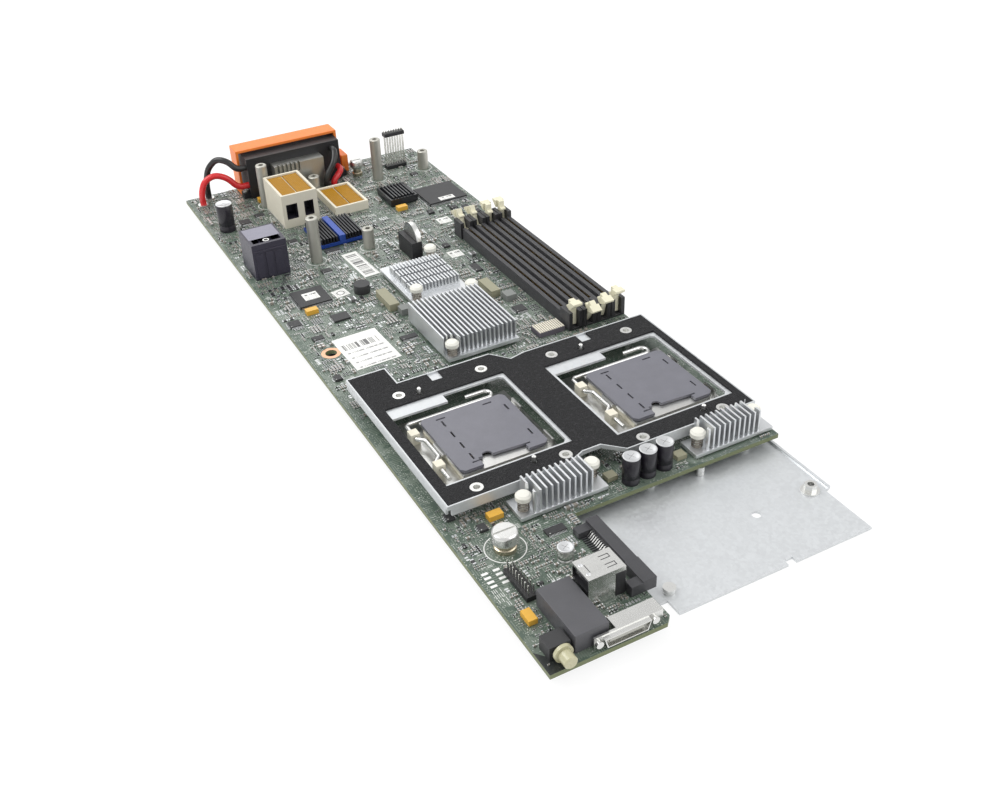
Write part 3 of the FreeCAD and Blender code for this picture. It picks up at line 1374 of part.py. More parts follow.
# Flat packages as (x, y, width, depth, rise) from their front left corners
CHIPS = [(15.8, 313.7, 20, 20, 1.8), (27.5, 289.2, 10, 8, 1.2), (141.8, 399.8, 28, 28, 2.2),
         (60, 284, 6.2, 21, 4.5), (64, 276, 6, 6, 4), (118, 267, 6, 17, 4.5), (123.5, 258, 6.5, 7, 4),
         (5.6, 26, 4.2, 7.2, 2.8), (119.5, 213, 16.5, 10, 3),
         (82.5, 86.6, 5.5, 5, 2.4), (119.5, 83.2, 5.5, 5, 2.4)]


def board_chips():
    pieces = [block(str(x), str(y), "0", str(wide), str(deep), str(rise)) for x, y, wide, deep, rise in CHIPS]
    pieces.append(block("chipset_x + 10", "chipset_y + 14", "0", "28", "28", "chipset_chip_rise"))
    pieces.append(block("rear_chipset_x + 7", "rear_chipset_y + 13", "0", "24", "24", "chipset_chip_rise"))
    for side in ("left", "right"):
        for index in range(4):
            pieces.append(block(f"regulator_{side}_x + 8 + {index} * 7.5", f"regulator_{side}_y + 3", "0",
                                "6", "6", "chip_rise"))
    pieces.append(block("blue_sink_x + 4", "blue_sink_y + 4", "0", "22", "24", "chip_rise"))
    pieces.append(block("black_sink_x + 2", "black_sink_y + 3", "0", "16", "18", "chip_rise"))
    pieces.append(disc("55.5", "315.5", "0", "4.9", "5.5"))
    body = block("button_x - switch_width / 2", "switch_y", "0", "switch_width", "switch_depth",
                 "button_rise + 2.4")
    bore = disc("button_x", "switch_y - 1", "button_rise", "button_radius / 2 + hole_clearance",
                "4 + button_travel", ALONG_Y)
    pieces.append(cut(body, [bore]))
    return finish("board_chips", group(pieces))


def build():
    fill_sheet()
    base_tray()
    tray_standoffs()
    main_board()
    cage_frame()
    cage_gasket()
    cage_standoffs()
    for side in SIDES:
        socket_body(side)
        socket_frame(side)
        load_plate(side)
        load_lever(side)
        socket_cap(side)
        regulator_heatsink(side)
    chipset_heatsink_front()
    chipset_heatsink_rear()
    heatsink_pins()
    heatsink_springs()
    blue_heatsink()
    black_heatsink()
    for index in range(4):
        memory_socket(index)
        for end in LATCH_REST:
            memory_latch(index, end)
    rear_connector_body()
    rear_connector_guard()
    rear_connector_shield()
    rear_connector_screws()
    leads("red_leads", RED_ROUTES)
    leads("black_leads", BLACK_ROUTES)
    mezzanine_connector_tall()
    mezzanine_connector_short()
    mezzanine_covers()
    threaded_posts()
    thumbscrew("front")
    thumbscrew("rear")
    thumbscrew_ferrules()
    power_receptacle()
    battery_holder()
    coin_cell()
    pin_headers()
    usb_stack()
    drive_connector()
    front_io_connector()
    front_shield()
    power_button()
    capacitors()
    board_chips()


def check():
    """Stops when any object failed or any sub-part has no valid solid."""
    DOC.recompute()
    for item in DOC.Objects:
        if "Invalid" in item.State or "Error" in item.State:
            raise ValueError(f"{item.Name} ({item.Label}) failed: {item.State}")
    for node, item in NODES.items():
        if item.Shape.isNull() or not item.Shape.isValid() or item.Shape.Volume <= 0:
            raise ValueError(f"{node} has no valid shape")


def export():
    os.makedirs("parts", exist_ok=True)
    for node, item in NODES.items():
        item.Shape.exportStep(f"parts/{node}.step")
    print(len(NODES), "sub-parts written")


build()
check()
export()
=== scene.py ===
"""Looks of an open blade server: its circuit board, processor cage, sockets, connectors and tray.

Lengths in the classes are millimetres on the board: X from its left edge, Y from its front edge and
Z from its top face. Plan.place turns them into metres in the shared frame. Shader lengths are metres.
"""

import logging
import math
from dataclasses import dataclass, field
from enum import Enum
from typing import Any, Dict, List, Optional, Sequence, Tuple, Union

import bpy
import numpy as np
from mathutils import Matrix, Vector


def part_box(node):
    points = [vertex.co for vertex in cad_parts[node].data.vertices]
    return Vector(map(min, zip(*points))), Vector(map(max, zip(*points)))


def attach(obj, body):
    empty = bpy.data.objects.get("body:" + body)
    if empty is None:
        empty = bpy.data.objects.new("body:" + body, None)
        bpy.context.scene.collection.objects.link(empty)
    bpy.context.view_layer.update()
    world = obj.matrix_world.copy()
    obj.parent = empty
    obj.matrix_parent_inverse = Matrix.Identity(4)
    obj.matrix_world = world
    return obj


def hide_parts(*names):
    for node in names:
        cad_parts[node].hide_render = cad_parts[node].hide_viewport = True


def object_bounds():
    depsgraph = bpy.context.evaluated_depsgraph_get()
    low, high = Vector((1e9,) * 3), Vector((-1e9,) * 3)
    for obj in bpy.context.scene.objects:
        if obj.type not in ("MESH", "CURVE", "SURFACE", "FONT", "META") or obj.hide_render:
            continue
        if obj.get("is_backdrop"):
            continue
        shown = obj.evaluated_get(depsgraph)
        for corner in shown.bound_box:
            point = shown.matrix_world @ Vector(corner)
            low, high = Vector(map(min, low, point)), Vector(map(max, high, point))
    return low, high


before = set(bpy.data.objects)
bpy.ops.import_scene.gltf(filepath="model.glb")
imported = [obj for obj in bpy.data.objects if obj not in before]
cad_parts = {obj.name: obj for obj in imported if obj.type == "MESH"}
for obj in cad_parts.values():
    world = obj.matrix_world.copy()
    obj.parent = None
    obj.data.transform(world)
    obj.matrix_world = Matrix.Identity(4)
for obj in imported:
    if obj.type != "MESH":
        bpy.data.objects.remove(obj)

LOG = logging.getLogger("blade_server")
MM = 0.001
SLACK = 0.02  # millimetres by which a painted box reaches past the faces that it colours
WELD_REACH = 0.000005
SMOOTH_ANGLE = math.radians(38)
SPLIT_ANGLE = math.radians(32)
BEVEL_ANGLE = math.radians(35)
QUARTER = math.pi / 2
Colour = Tuple[float, float, float]
Mesh = Tuple[np.ndarray, np.ndarray]
Number = Union[int, float, "Wire"]
Rows = Union[np.ndarray, Sequence[Any]]
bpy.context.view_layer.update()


class Axis(Enum):
    """Direction of a brushed or extruded grain."""

    Y = (1.0, 0.06, 1.0)
    Z = (1.0, 1.0, 0.06)
    NONE = (1.0, 1.0, 1.0)


def put(tree: bpy.types.NodeTree, socket: bpy.types.NodeSocket, value: Any) -> None:
    """Links a socket or sets it.

    Args:
        tree: the tree it belongs to.
        socket: the input.
        value: a wire to link, or a number, a vector or a colour.
    """
    if isinstance(value, Wire):
        tree.links.new(value.socket, socket)
    elif socket.type == "RGBA":
        socket.default_value = (*value, 1.0)
    else:
        socket.default_value = value


def toned(colour: Colour, factor: float, lift: float = 0.0) -> Colour:
    """Returns channel * factor + lift for each channel, never over 1."""
    return tuple(min(1.0, channel * factor + lift) for channel in colour)


class Wire:
    """A shader value that can stand in a Python expression."""

    def __init__(self, tree: bpy.types.NodeTree, socket: bpy.types.NodeSocket) -> None:
        """Keeps the socket and the tree it belongs to."""
        self.tree = tree
        self.socket = socket

    def math(self, operation: str, *values: Number, clamp: bool = False) -> "Wire":
        """Adds one Math node.

        Args:
            operation: the node's operation.
            values: its inputs in order, numbers or wires.
            clamp: whether the result stays between 0 and 1.

        Returns:
            The node's result.
        """
        node = self.tree.nodes.new("ShaderNodeMath")
        node.operation = operation
        node.use_clamp = clamp
        for socket, value in zip(node.inputs, values):
            put(self.tree, socket, value)
        return Wire(self.tree, node.outputs[0])

    def __add__(self, other: Number) -> "Wire":
        """Sum."""
        return self.math("ADD", self, other)

    __radd__ = __add__

    def __sub__(self, other: Number) -> "Wire":
        """Difference."""
        return self.math("SUBTRACT", self, other)

    def __rsub__(self, other: Number) -> "Wire":
        """Difference the other way round."""
        return self.math("SUBTRACT", other, self)

    def __mul__(self, other: Number) -> "Wire":
        """Product."""
        return self.math("MULTIPLY", self, other)

    def __truediv__(self, other: Number) -> "Wire":
        """Quotient."""
        return self.math("DIVIDE", self, other)

    def above(self, level: Number) -> "Wire":
        """1 where the value is over the level."""
        return self.math("GREATER_THAN", self, level)

    def below(self, level: Number) -> "Wire":
        """1 where the value is under the level."""
        return self.math("LESS_THAN", self, level)

    def between(self, low: float, high: float) -> "Wire":
        """1 where the value lies between two levels."""
        return self.above(low) * self.below(high)

    def larger(self, other: Number) -> "Wire":
        """The larger of two values."""
        return self.math("MAXIMUM", self, other)

    def wrapped(self, period: float) -> "Wire":
        """The distance to the nearest whole multiple of the period."""
        return self.math("PINGPONG", self, period / 2)

    def clamped(self) -> "Wire":
        """The value held between 0 and 1."""
        return self.math("ADD", self, 0.0, clamp=True)


class Paint:
    """A material with one Principled shader and the nodes that feed it."""

    def __init__(self, name: str) -> None:
        """Makes the material with an empty tree."""
        self.material = bpy.data.materials.new(name)
        self.tree = cleared(self.material)
        self.coordinates = self.node("ShaderNodeTexCoord", output="Object")
        self.shader = self.tree.nodes.new("ShaderNodeBsdfPrincipled")
        out = self.tree.nodes.new("ShaderNodeOutputMaterial")
        self.tree.links.new(self.shader.outputs[0], out.inputs[0])
        split = self.tree.nodes.new("ShaderNodeSeparateXYZ")
        put(self.tree, split.inputs[0], self.coordinates)
        self.x, self.y, self.z = (Wire(self.tree, socket) for socket in split.outputs)

    def node(self, kind: str, settings: Optional[Dict[str, Any]] = None,
             inputs: Optional[Dict[Union[str, int], Any]] = None, output: Union[str, int] = 0) -> Wire:
        """Adds any node.

        Args:
            kind: the node's type.
            settings: attributes set first.
            inputs: values or wires of its sockets.
            output: the output to return.

        Returns:
            The chosen output.
        """
        node = self.tree.nodes.new(kind)
        for key, value in (settings or {}).items():
            setattr(node, key, value)
        for key, value in (inputs or {}).items():
            put(self.tree, node.inputs[key], value)
        return Wire(self.tree, node.outputs[output])

    def noise(self, scale: float, detail: float = 3.0, stretch: Sequence[float] = (1, 1, 1)) -> Wire:
        """Fractal noise.

        Args:
            scale: cycles in a metre.
            detail: octaves.
            stretch: factors along X, Y and Z.

        Returns:
            Values near 0.5.
        """
        vector = self.node("ShaderNodeVectorMath", {"operation": "MULTIPLY"},
                           {0: self.coordinates, 1: tuple(stretch)})
        return self.node("ShaderNodeTexNoise", inputs={"Vector": vector, "Scale": scale, "Detail": detail})

    def cells(self, scale: float, output: str = "Distance") -> Wire:
        """Voronoi cells.

        Args:
            scale: cells in a metre.
            output: "Distance" to a cell's middle, or "Color" for one colour in each cell.

        Returns:
            The chosen output.
        """
        return self.node("ShaderNodeTexVoronoi", None, {"Vector": self.coordinates, "Scale": scale}, output)

    def within(self, low: Sequence[float], high: Sequence[float]) -> Wire:
        """1 inside an upright column, given by two corners of its plan in metres."""
        return self.x.between(float(low[0]), float(high[0])) * self.y.between(float(low[1]), float(high[1]))

    def mixed(self, mask: Number, first: Union[Colour, Wire], second: Union[Colour, Wire]) -> Wire:
        """Blends two colours.

        Args:
            mask: 0 for the first colour, 1 for the second.
            first: a colour or a wire.
            second: a colour or a wire.

        Returns:
            The blended colour.
        """
        node = self.tree.nodes.new("ShaderNodeMix")
        node.data_type = "RGBA"
        for socket, value in zip((node.inputs["Factor"], *node.inputs[6:8]), (mask, first, second)):
            put(self.tree, socket, value)
        return Wire(self.tree, node.outputs[2])

    def bump(self, height: Wire, depth: float) -> Wire:
        """A normal bent by a height.

        Args:
            height: values from 0 to 1.
            depth: metres from 0 to 1.

        Returns:
            The normal.
        """
        return self.node("ShaderNodeBump", None, {"Height": height, "Distance": depth, "Strength": 1.0})

    def close(self, colour: Union[Colour, Wire], roughness: Number, metallic: Number, normal: Wire,
              **plain: float) -> bpy.types.Material:
        """Connects what was worked out to the shader.

        Args:
            colour: base colour.
            roughness: roughness.
            metallic: 1 for bare metal.
            normal: the bent normal.
            plain: other sockets with one value all over, with spaces as underscores.

        Returns:
            The finished material.
        """
        values = {"Base Color": colour, "Roughness": roughness, "Metallic": metallic, "Normal": normal}
        values.update({key.replace("_", " "): value for key, value in plain.items()})
        for key, value in values.items():
            put(self.tree, self.shader.inputs[key], value)
        return self.material


def cleared(owner: Union[bpy.types.Material, bpy.types.World]) -> bpy.types.NodeTree:
    """Returns the owner's node tree with nothing in it."""
    owner.use_nodes = True
    owner.node_tree.nodes.clear()
    return owner.node_tree


@dataclass(frozen=True)
class Moulding:
    """Moulded plastic with a fine grain and slight colour drift."""

    name: str
    colour: Colour
    roughness: float = 0.45
    drift: float = 0.12
    grain: float = 9000.0
    depth: float = 0.00003
    coat: float = 0.0
    ribs: float = 0.0

    def make(self) -> bpy.types.Material:
        """Returns the material: base colour times 1 +- drift, roughness and bump from noise.

        With ribs, every such length along Y has a land between two grooves, with a painted highlight that
        makes it paler.
        """
        paint = Paint(self.name)
        colour = paint.mixed(paint.noise(140), toned(self.colour, 1 - self.drift),
                             toned(self.colour, 1 + self.drift))
        rough = self.roughness + (paint.noise(600, 4) - 0.5) * 0.2
        height = paint.noise(self.grain, 2)
        if self.ribs:
            highlit_land = paint.y.wrapped(self.ribs).above(self.ribs * 0.27)
            # painted highlight: the lands take a paler copy of the colour, as if lit on their tops
            colour = paint.mixed(highlit_land, colour, toned(self.colour, 3, 0.055))
            height = height * 0.2 + highlit_land * 0.8
        return paint.close(colour, rough, 0.0, paint.bump(height, self.depth), Coat_Weight=self.coat)


@dataclass(frozen=True)
class Metal:
    """Bare or plated metal with brushing, tarnish and fine scratches."""

    name: str
    colour: Colour
    roughness: float = 0.3
    axis: Axis = Axis.NONE
    grain: float = 2600.0
    tarnish: float = 0.16
    depth: float = 0.00002

    def make(self) -> bpy.types.Material:
        """Returns the material: tarnish darkens the colour, the grain drives roughness and bump."""
        paint = Paint(self.name)
        blotch = paint.noise(90, 5)
        colour = paint.mixed(blotch, toned(self.colour, 1 - self.tarnish), self.colour)
        grain = paint.noise(self.grain, 4, self.axis.value)
        rough = self.roughness + (grain - 0.5) * 0.22 + (blotch - 0.5) * 0.12
        return paint.close(colour, rough, 1.0, paint.bump(grain, self.depth))


@dataclass(frozen=True)
class Spangle:
    """Zinc-coated sheet: fine crystals of slightly different brightness, with faint rolling lines."""

    name: str
    colour: Colour = (0.71, 0.73, 0.745)
    crystals: float = 700.0
    contrast: float = 0.16

    def make(self) -> bpy.types.Material:
        """Returns the material: each crystal shifts brightness and roughness, scuffs dull it in streaks."""
        paint = Paint(self.name)
        tone = paint.node("ShaderNodeSeparateColor", inputs={0: paint.cells(self.crystals, "Color")})
        rolling = paint.noise(1500, 3, (1.0, 0.03, 1.0))
        mask = tone * 0.45 + rolling * 0.3 + paint.noise(60, 5) * 0.25
        colour = paint.mixed(mask, toned(self.colour, 1 - self.contrast), self.colour)
        scuff = paint.noise(420, 6, (1.0, 0.2, 1.0)).above(0.66)
        rough = 0.44 + (tone - 0.5) * 0.14 + scuff * 0.12
        return paint.close(colour, rough, 0.55, paint.bump(tone * 0.5 + rolling * 0.5, 0.00001))


@dataclass(frozen=True)
class Foam:
    """Open-cell foam with pits and dust."""

    name: str
    colour: Colour = (0.048, 0.048, 0.052)

    def make(self) -> bpy.types.Material:
        """Returns the material: cell distance gives pits, high noise gives pale dust."""
        paint = Paint(self.name)
        pits = paint.cells(1500)
        dust = ((paint.noise(520, 6) - 0.52) * 4).clamped()
        colour = paint.mixed(dust, self.colour, toned(self.colour, 1.8, 0.01))
        return paint.close(colour, 0.93, 0.0, paint.bump(pits * 900, 0.00012))


@dataclass(frozen=True)
class Laminate:
    """Solder-masked board: copper runs show lighter through the mask, with vias, weave and cut edges."""

    name: str
    mask: Colour = (0.066, 0.098, 0.074)
    run: Colour = (0.150, 0.185, 0.150)
    pad: Colour = (0.50, 0.52, 0.48)
    bore: Colour = (0.02, 0.025, 0.02)
    weave: Colour = (0.13, 0.19, 0.13)
    # colour of the painted shadow on the front left corner
    painted_shadow: Colour = (0.008, 0.008, 0.010)
    edge: Colour = (0.11, 0.13, 0.06)
    glass: Colour = (0.22, 0.25, 0.12)

    def make(self) -> bpy.types.Material:
        """Returns the material.

        Parallel lines along X or Y, chosen by slow noise, are the runs; filled areas are pours; cell
        centres are vias with a dark bore; the front left corner is darkened by a painted shadow, where
        90 (x - left) + 75 (y - front) < 1 in metres; and the cut edges show pale layers of glass.
        """
        paint = Paint(self.name)
        way = paint.noise(95, 2).above(0.5)
        lines = paint.x.wrapped(0.0011).above(0.00027)
        cross = paint.y.wrapped(0.0013).above(0.00035)
        runs = (lines * way + cross * (1 - way)) * paint.noise(240, 3).above(0.44)
        copper = runs.larger(paint.noise(60, 3).above(0.56) * 0.7)
        colour = paint.mixed(copper, self.mask, self.run)
        weave = paint.noise(2600, 2, (1.0, 0.3, 1.0))
        colour = paint.mixed(((weave - 0.5) * 0.8).clamped(), colour, self.weave)
        vias = paint.cells(900)
        colour = paint.mixed(vias.below(0.24) * paint.noise(130, 2).above(0.46), colour, self.pad)
        colour = paint.mixed(vias.below(0.08), colour, self.bore)
        # painted shadow: the front left corner of the board is darkened as if shade lay on it
        corner = ((paint.x - PLAN.low.x) * 90.0 + (paint.y - PLAN.low.y) * 75.0).below(1.0)
        colour = paint.mixed(corner * 0.9, colour, self.painted_shadow)
        cut = paint.z.between(PLAN.low.z + 0.00005, PLAN.high.z - 0.00005)
        layers = paint.z.wrapped(0.0005).above(0.00012)
        colour = paint.mixed(cut, colour, self.edge)
        colour = paint.mixed(cut * layers * 0.6, colour, self.glass)
        rough = 0.34 + (1 - copper) * 0.12 + cut * 0.25
        normal = paint.bump(copper * 0.7 + paint.noise(4000, 2) * 0.2, 0.00005)
        return paint.close(colour, rough, 0.0, normal, Coat_Weight=0.2)


@dataclass(frozen=True)
class Film:
    """Amber film over a field of contacts, which show as faint rows."""

    name: str
    colour: Colour = (0.54, 0.26, 0.006)
    crease: Colour = (0.66, 0.38, 0.04)
    pitch: float = 0.00127

    def make(self) -> bpy.types.Material:
        """Returns the material: rows of dots at the contact pitch darken the film."""
        paint = Paint(self.name)
        rows, columns = (way.wrapped(self.pitch).above(self.pitch * 0.22) for way in (paint.x, paint.y))
        wrinkles = paint.noise(230, 5)
        colour = paint.mixed(rows * columns * 0.7, toned(self.colour, 0.55), self.colour)
        colour = paint.mixed(((wrinkles - 0.6) * 3).clamped(), colour, self.crease)
        return paint.close(colour, 0.42 + wrinkles * 0.2, 0.0, paint.bump(wrinkles, 0.0004),
                           Specular_IOR_Level=0.22)


@dataclass(frozen=True)
class PinStrips:
    """Bright pins that stand in black strips, told apart by their height over the board."""

    name: str
    strips: Tuple[Tuple[float, float], ...]
    black: Colour = (0.016, 0.016, 0.018)
    metal: Colour = (0.78, 0.77, 0.72)

    def make(self) -> bpy.types.Material:
        """Returns the material: black moulding inside the strips' heights, plated metal elsewhere."""
        paint = Paint(self.name)
        moulded: Number = 0.0
        for low, high in self.strips:
            moulded = paint.z.between(PLAN.level(low - SLACK), PLAN.level(high + SLACK)) + moulded
        grain = paint.noise(3000, 3)
        rough = 0.26 + moulded * 0.24 + (grain - 0.5) * 0.1
        return paint.close(paint.mixed(moulded, self.metal, self.black), rough, 1 - moulded,
                           paint.bump(grain, 0.00002))


@dataclass(frozen=True)
class FramedFins:
    """A blue rim and middle bar round two fields of black fins."""

    name: str
    node: str
    rim: float = 0.9
    bar: float = 4.2
    blue: Colour = (0.018, 0.065, 0.34)
    black: Colour = (0.012, 0.013, 0.017)

    def make(self) -> bpy.types.Material:
        """Returns the material: black where the place is inside the rim and off the middle bar."""
        paint = Paint(self.name)
        low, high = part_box(self.node)
        rim = self.rim * MM
        across = paint.x - (low.x + high.x) / 2
        fins = paint.within((low.x + rim, low.y + rim), (high.x - rim, high.y - rim))
        fins = fins * across.math("ABSOLUTE", across).above(self.bar / 2 * MM)
        grain = paint.noise(2600, 3, Axis.Y.value)
        rough = 0.36 + (grain - 0.5) * 0.2
        return paint.close(paint.mixed(fins, self.blue, self.black), rough, 0.35, paint.bump(grain, 0.00002),
                           Coat_Weight=0.1)


@dataclass(frozen=True)
class Patches:
    """One body material with other colours inside given boxes of the board.

    A box holds left, front, right and rear in millimetres, its colour, and 1 if it is bare metal.
    """

    name: str
    base: Colour
    boxes: Tuple[Tuple[Tuple[float, float, float, float], Colour, float], ...]
    roughness: float = 0.5
    metal: float = 0.0
    heights: Tuple[float, float] = (-5.0, 60.0)

    def make(self) -> bpy.types.Material:
        """Returns the material: each box in turn takes its own colour and metal."""
        paint = Paint(self.name)
        grain = paint.noise(2400, 4)
        colour = paint.mixed(paint.noise(140), toned(self.base, 0.88), self.base)
        metal: Number = self.metal
        level = paint.z.between(*(PLAN.level(height) for height in self.heights))
        for (left, front, right, rear), other, shine in self.boxes:
            low, high = PLAN.place([[left - SLACK, front - SLACK, 0], [right + SLACK, rear + SLACK, 0]])
            inside = paint.within(low, high) * level
            colour = paint.mixed(inside, colour, other)
            metal = inside * shine + (1 - inside) * metal
        rough = self.roughness + (grain - 0.5) * 0.2
        return paint.close(colour, rough, metal, paint.bump(grain, 0.00002))


@dataclass(frozen=True)
class Sticker:
    """White paper label with generic bars and short grey rules, no lettering."""

    name: str
    middle: Tuple[float, float]
    turn: float
    half: Tuple[float, float]
    bars: Tuple[float, float] = (0.1, 0.6)
    paper: Colour = (0.80, 0.80, 0.77)
    ink: Colour = (0.04, 0.04, 0.045)
    rule: Colour = (0.12, 0.12, 0.13)
    steps: float = 2600.0

    def make(self) -> bpy.types.Material:
        """Returns the material: white noise in steps along the label decides which steps are dark."""
        paint = Paint(self.name)
        spot = PLAN.place([*self.middle, 0.0])
        cosine, sine = math.cos(self.turn), math.sin(self.turn)
        x, y = paint.x - float(spot[0]), paint.y - float(spot[1])
        along, across = x * cosine + y * sine, y * cosine - x * sine
        step = (along * self.steps).math("FLOOR", along * self.steps)
        chance = paint.node("ShaderNodeTexWhiteNoise", {"noise_dimensions": "1D"}, {"W": step})
        share = across / (self.half[1] * MM)
        inset = (along / (self.half[0] * MM)).wrapped(4.0).below(0.84)
        ink = chance.above(0.5) * share.between(*self.bars) * inset
        rule = share.wrapped(0.3).below(0.035) * share.below(self.bars[0]) * inset
        colour = paint.mixed(ink * 0.85, self.paper, self.ink)
        colour = paint.mixed(rule * chance.above(0.2) * 0.7, colour, self.rule)
        grain = paint.noise(2500, 4)
        return paint.close(colour, 0.55 + (grain - 0.5) * 0.1, 0.0, paint.bump(grain, 0.00002))


@dataclass(frozen=True)
class Plan:
    """Places on the board, read from the frame."""

    low: Vector = field(default_factory=lambda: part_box("main_board")[0])
    high: Vector = field(default_factory=lambda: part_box("main_board")[1])

    def corner(self) -> np.ndarray:
        """Returns the front left corner of the board's top in metres."""
        return np.array([self.low.x, self.low.y, self.high.z])

    def place(self, points: Rows) -> np.ndarray:
        """Turns millimetres on the board into metres in the frame.

        Args:
            points: numbers whose last axis is (x, y, z).

        Returns:
            The same array in metres, counted from the frame's origin.
        """
        return np.asarray(points, float) * MM + self.corner()

    def of(self, points: Rows) -> np.ndarray:
        """Turns metres in the frame into millimetres on the board, the other way round."""
        return (np.asarray(points, float) - self.corner()) / MM

    def level(self, height: float) -> float:
        """Turns a height over the board in millimetres into the frame's z in metres."""
        return self.high.z + height * MM

    def box(self, node: str) -> Tuple[np.ndarray, np.ndarray]:
        """Returns the low and the high corner of a node in millimetres on the board."""
        low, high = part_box(node)
        return self.of([*low]), self.of([*high])

    def vertices(self, data: bpy.types.Mesh) -> np.ndarray:
        """Returns a mesh's points as (n, 3) millimetres on the board."""
        points = np.zeros(len(data.vertices) * 3)
        data.vertices.foreach_get("co", points)
        return self.of(points.reshape(-1, 3))


PLAN = Plan()
CORNERS = np.array([[-1, -1], [1, -1], [1, 1], [-1, 1]]) / 2
SIDES = np.array([[i, (i + 1) % 4, (i + 1) % 4 + 4, i + 4] for i in range(4)])


def rows_of(values: Rows) -> np.ndarray:
    """Returns the values as an array of rows, one row for a single place."""
    return np.atleast_2d(np.asarray(values, float))


def joined(parts: Sequence[Mesh]) -> Mesh:
    """Puts several quad meshes into one.

    Args:
        parts: (points, quads) pairs.

    Returns:
        One pair, with the quads' numbers moved on by the points before them.
    """
    starts = np.cumsum([0] + [len(points) for points, _ in parts[:-1]])
    points = np.concatenate([points for points, _ in parts])
    quads = np.concatenate([quads + start for (_, quads), start in zip(parts, starts)])
    return points, quads


def stacked(layers: np.ndarray, heights: np.ndarray, centres: np.ndarray, yaw: Optional[Rows],
            faces: np.ndarray) -> Mesh:
    """Stacks of four-cornered rings, each stack turned about Z and moved to its place.

    A corner (x, y) turned by the angle a is (x cos a - y sin a, x sin a + y cos a).

    Args:
        layers: (n, rings, 4, 2) corners.
        heights: (n, rings) heights over the foot.
        centres: (n, 3) middles of the feet.
        yaw: (n,) turns in radians, if any.
        faces: the quads of one stack.

    Returns:
        Points and quads.
    """
    count, rings = heights.shape
    yaw = np.zeros(count) if yaw is None else np.asarray(yaw, float)
    cosine, sine = np.cos(yaw)[:, None, None], np.sin(yaw)[:, None, None]
    x = layers[..., 0] * cosine - layers[..., 1] * sine + centres[:, None, None, 0]
    y = layers[..., 0] * sine + layers[..., 1] * cosine + centres[:, None, None, 1]
    z = np.broadcast_to(heights[:, :, None], x.shape) + centres[:, None, None, 2]
    points = np.stack([x, y, z], axis=-1).reshape(-1, 3)
    return points, (faces[None] + 4 * rings * np.arange(count)[:, None, None]).reshape(-1, 4)


def bricks(centres: Rows, sizes: Rows, yaw: Optional[Rows] = None, bevel: float = 0.12) -> Mesh:
    """Many blocks with chamfered top edges: rings at the foot, the shoulder and the drawn-in top.

    Args:
        centres: (n, 3) middles of the feet.
        sizes: (n, 3) lengths along X, Y and Z.
        yaw: (n,) turns about Z in radians.
        bevel: width of the chamfer as a share of the smallest side.

    Returns:
        Points and quads.
    """
    centres, sizes = rows_of(centres), rows_of(sizes)
    inset = sizes.min(axis=1) * bevel
    ring = CORNERS[None] * sizes[:, None, :2]
    drawn = ring - 2 * CORNERS[None] * inset[:, None, None]
    heights = np.stack([np.zeros(len(sizes)), sizes[:, 2] - inset, sizes[:, 2]], axis=1)
    faces = np.concatenate([[[3, 2, 1, 0]], SIDES, SIDES + 4, [[8, 9, 10, 11]]])
    return stacked(np.stack([ring, ring, drawn], axis=1), heights, centres, yaw, faces)


def slabs(centres: Rows, sizes: Rows, yaw: Optional[Rows] = None) -> Mesh:
    """Many plain boxes without their undersides, for the smallest parts.

    Args:
        centres: (n, 3) middles of the feet.
        sizes: (n, 3) lengths along X, Y and Z.
        yaw: (n,) turns about Z in radians.

    Returns:
        Points and quads.
    """
    centres, sizes = rows_of(centres), rows_of(sizes)
    ring = CORNERS[None] * sizes[:, None, :2]
    heights = np.stack([np.zeros(len(sizes)), sizes[:, 2]], axis=1)
    faces = np.concatenate([SIDES, [[4, 5, 6, 7]]])
    return stacked(np.stack([ring, ring], axis=1), heights, centres, yaw, faces)


def wrapped_quads(count: int, rows: int, segments: int) -> np.ndarray:
    """Quads of closed rings: row by row, the last column joined to the first.

    Args:
        count: separate sheets.
        rows: rings in a sheet.
        segments: points in a ring.

    Returns:
        The quads.
    """
    row, column = np.meshgrid(np.arange(rows - 1), np.arange(segments), indexing="ij")
    after = (column + 1) % segments
    sheet = np.stack([row * segments + column, row * segments + after, (row + 1) * segments + after,
                      (row + 1) * segments + column], axis=-1).reshape(-1, 4)
    return (sheet[None] + rows * segments * np.arange(count)[:, None, None]).reshape(-1, 4)


def lathed(profile: Sequence[Tuple[float, float]], centres: Rows, segments: int = 24) -> Mesh:
    """Copies of one profile turned about vertical axes.

    The point for angle a is (r cos a, r sin a, z); the profile's first and last radius close at the axis.

    Args:
        profile: (radius, height) pairs, from the foot up.
        centres: (n, 3) places of the axes.
        segments: steps round the axis.

    Returns:
        Points and quads.
    """
    centres = rows_of(centres)
    radius, height = np.array(profile, float).T
    angle = np.linspace(0, 2 * np.pi, segments, endpoint=False)
    ring = np.stack([radius[:, None] * np.cos(angle), radius[:, None] * np.sin(angle),
                     np.broadcast_to(height[:, None], (len(radius), segments))], axis=-1)
    points = (centres[:, None, None] + ring[None]).reshape(-1, 3)
    return points, wrapped_quads(len(centres), len(radius), segments)


def washers(centres: Rows, inner: float, outer: float, thick: float, segments: int = 40) -> Mesh:
    """Flat rings with a rectangular section, closed all round.

    Args:
        centres: (n, 3) middles of the undersides.
        inner: inner radius.
        outer: outer radius.
        thick: height of the ring.
        segments: steps round the axis.

    Returns:
        Points and quads.
    """
    profile = [(inner, 0.0), (outer, 0.0), (outer, thick), (inner, thick), (inner, 0.0)]
    return lathed(profile, centres, segments)


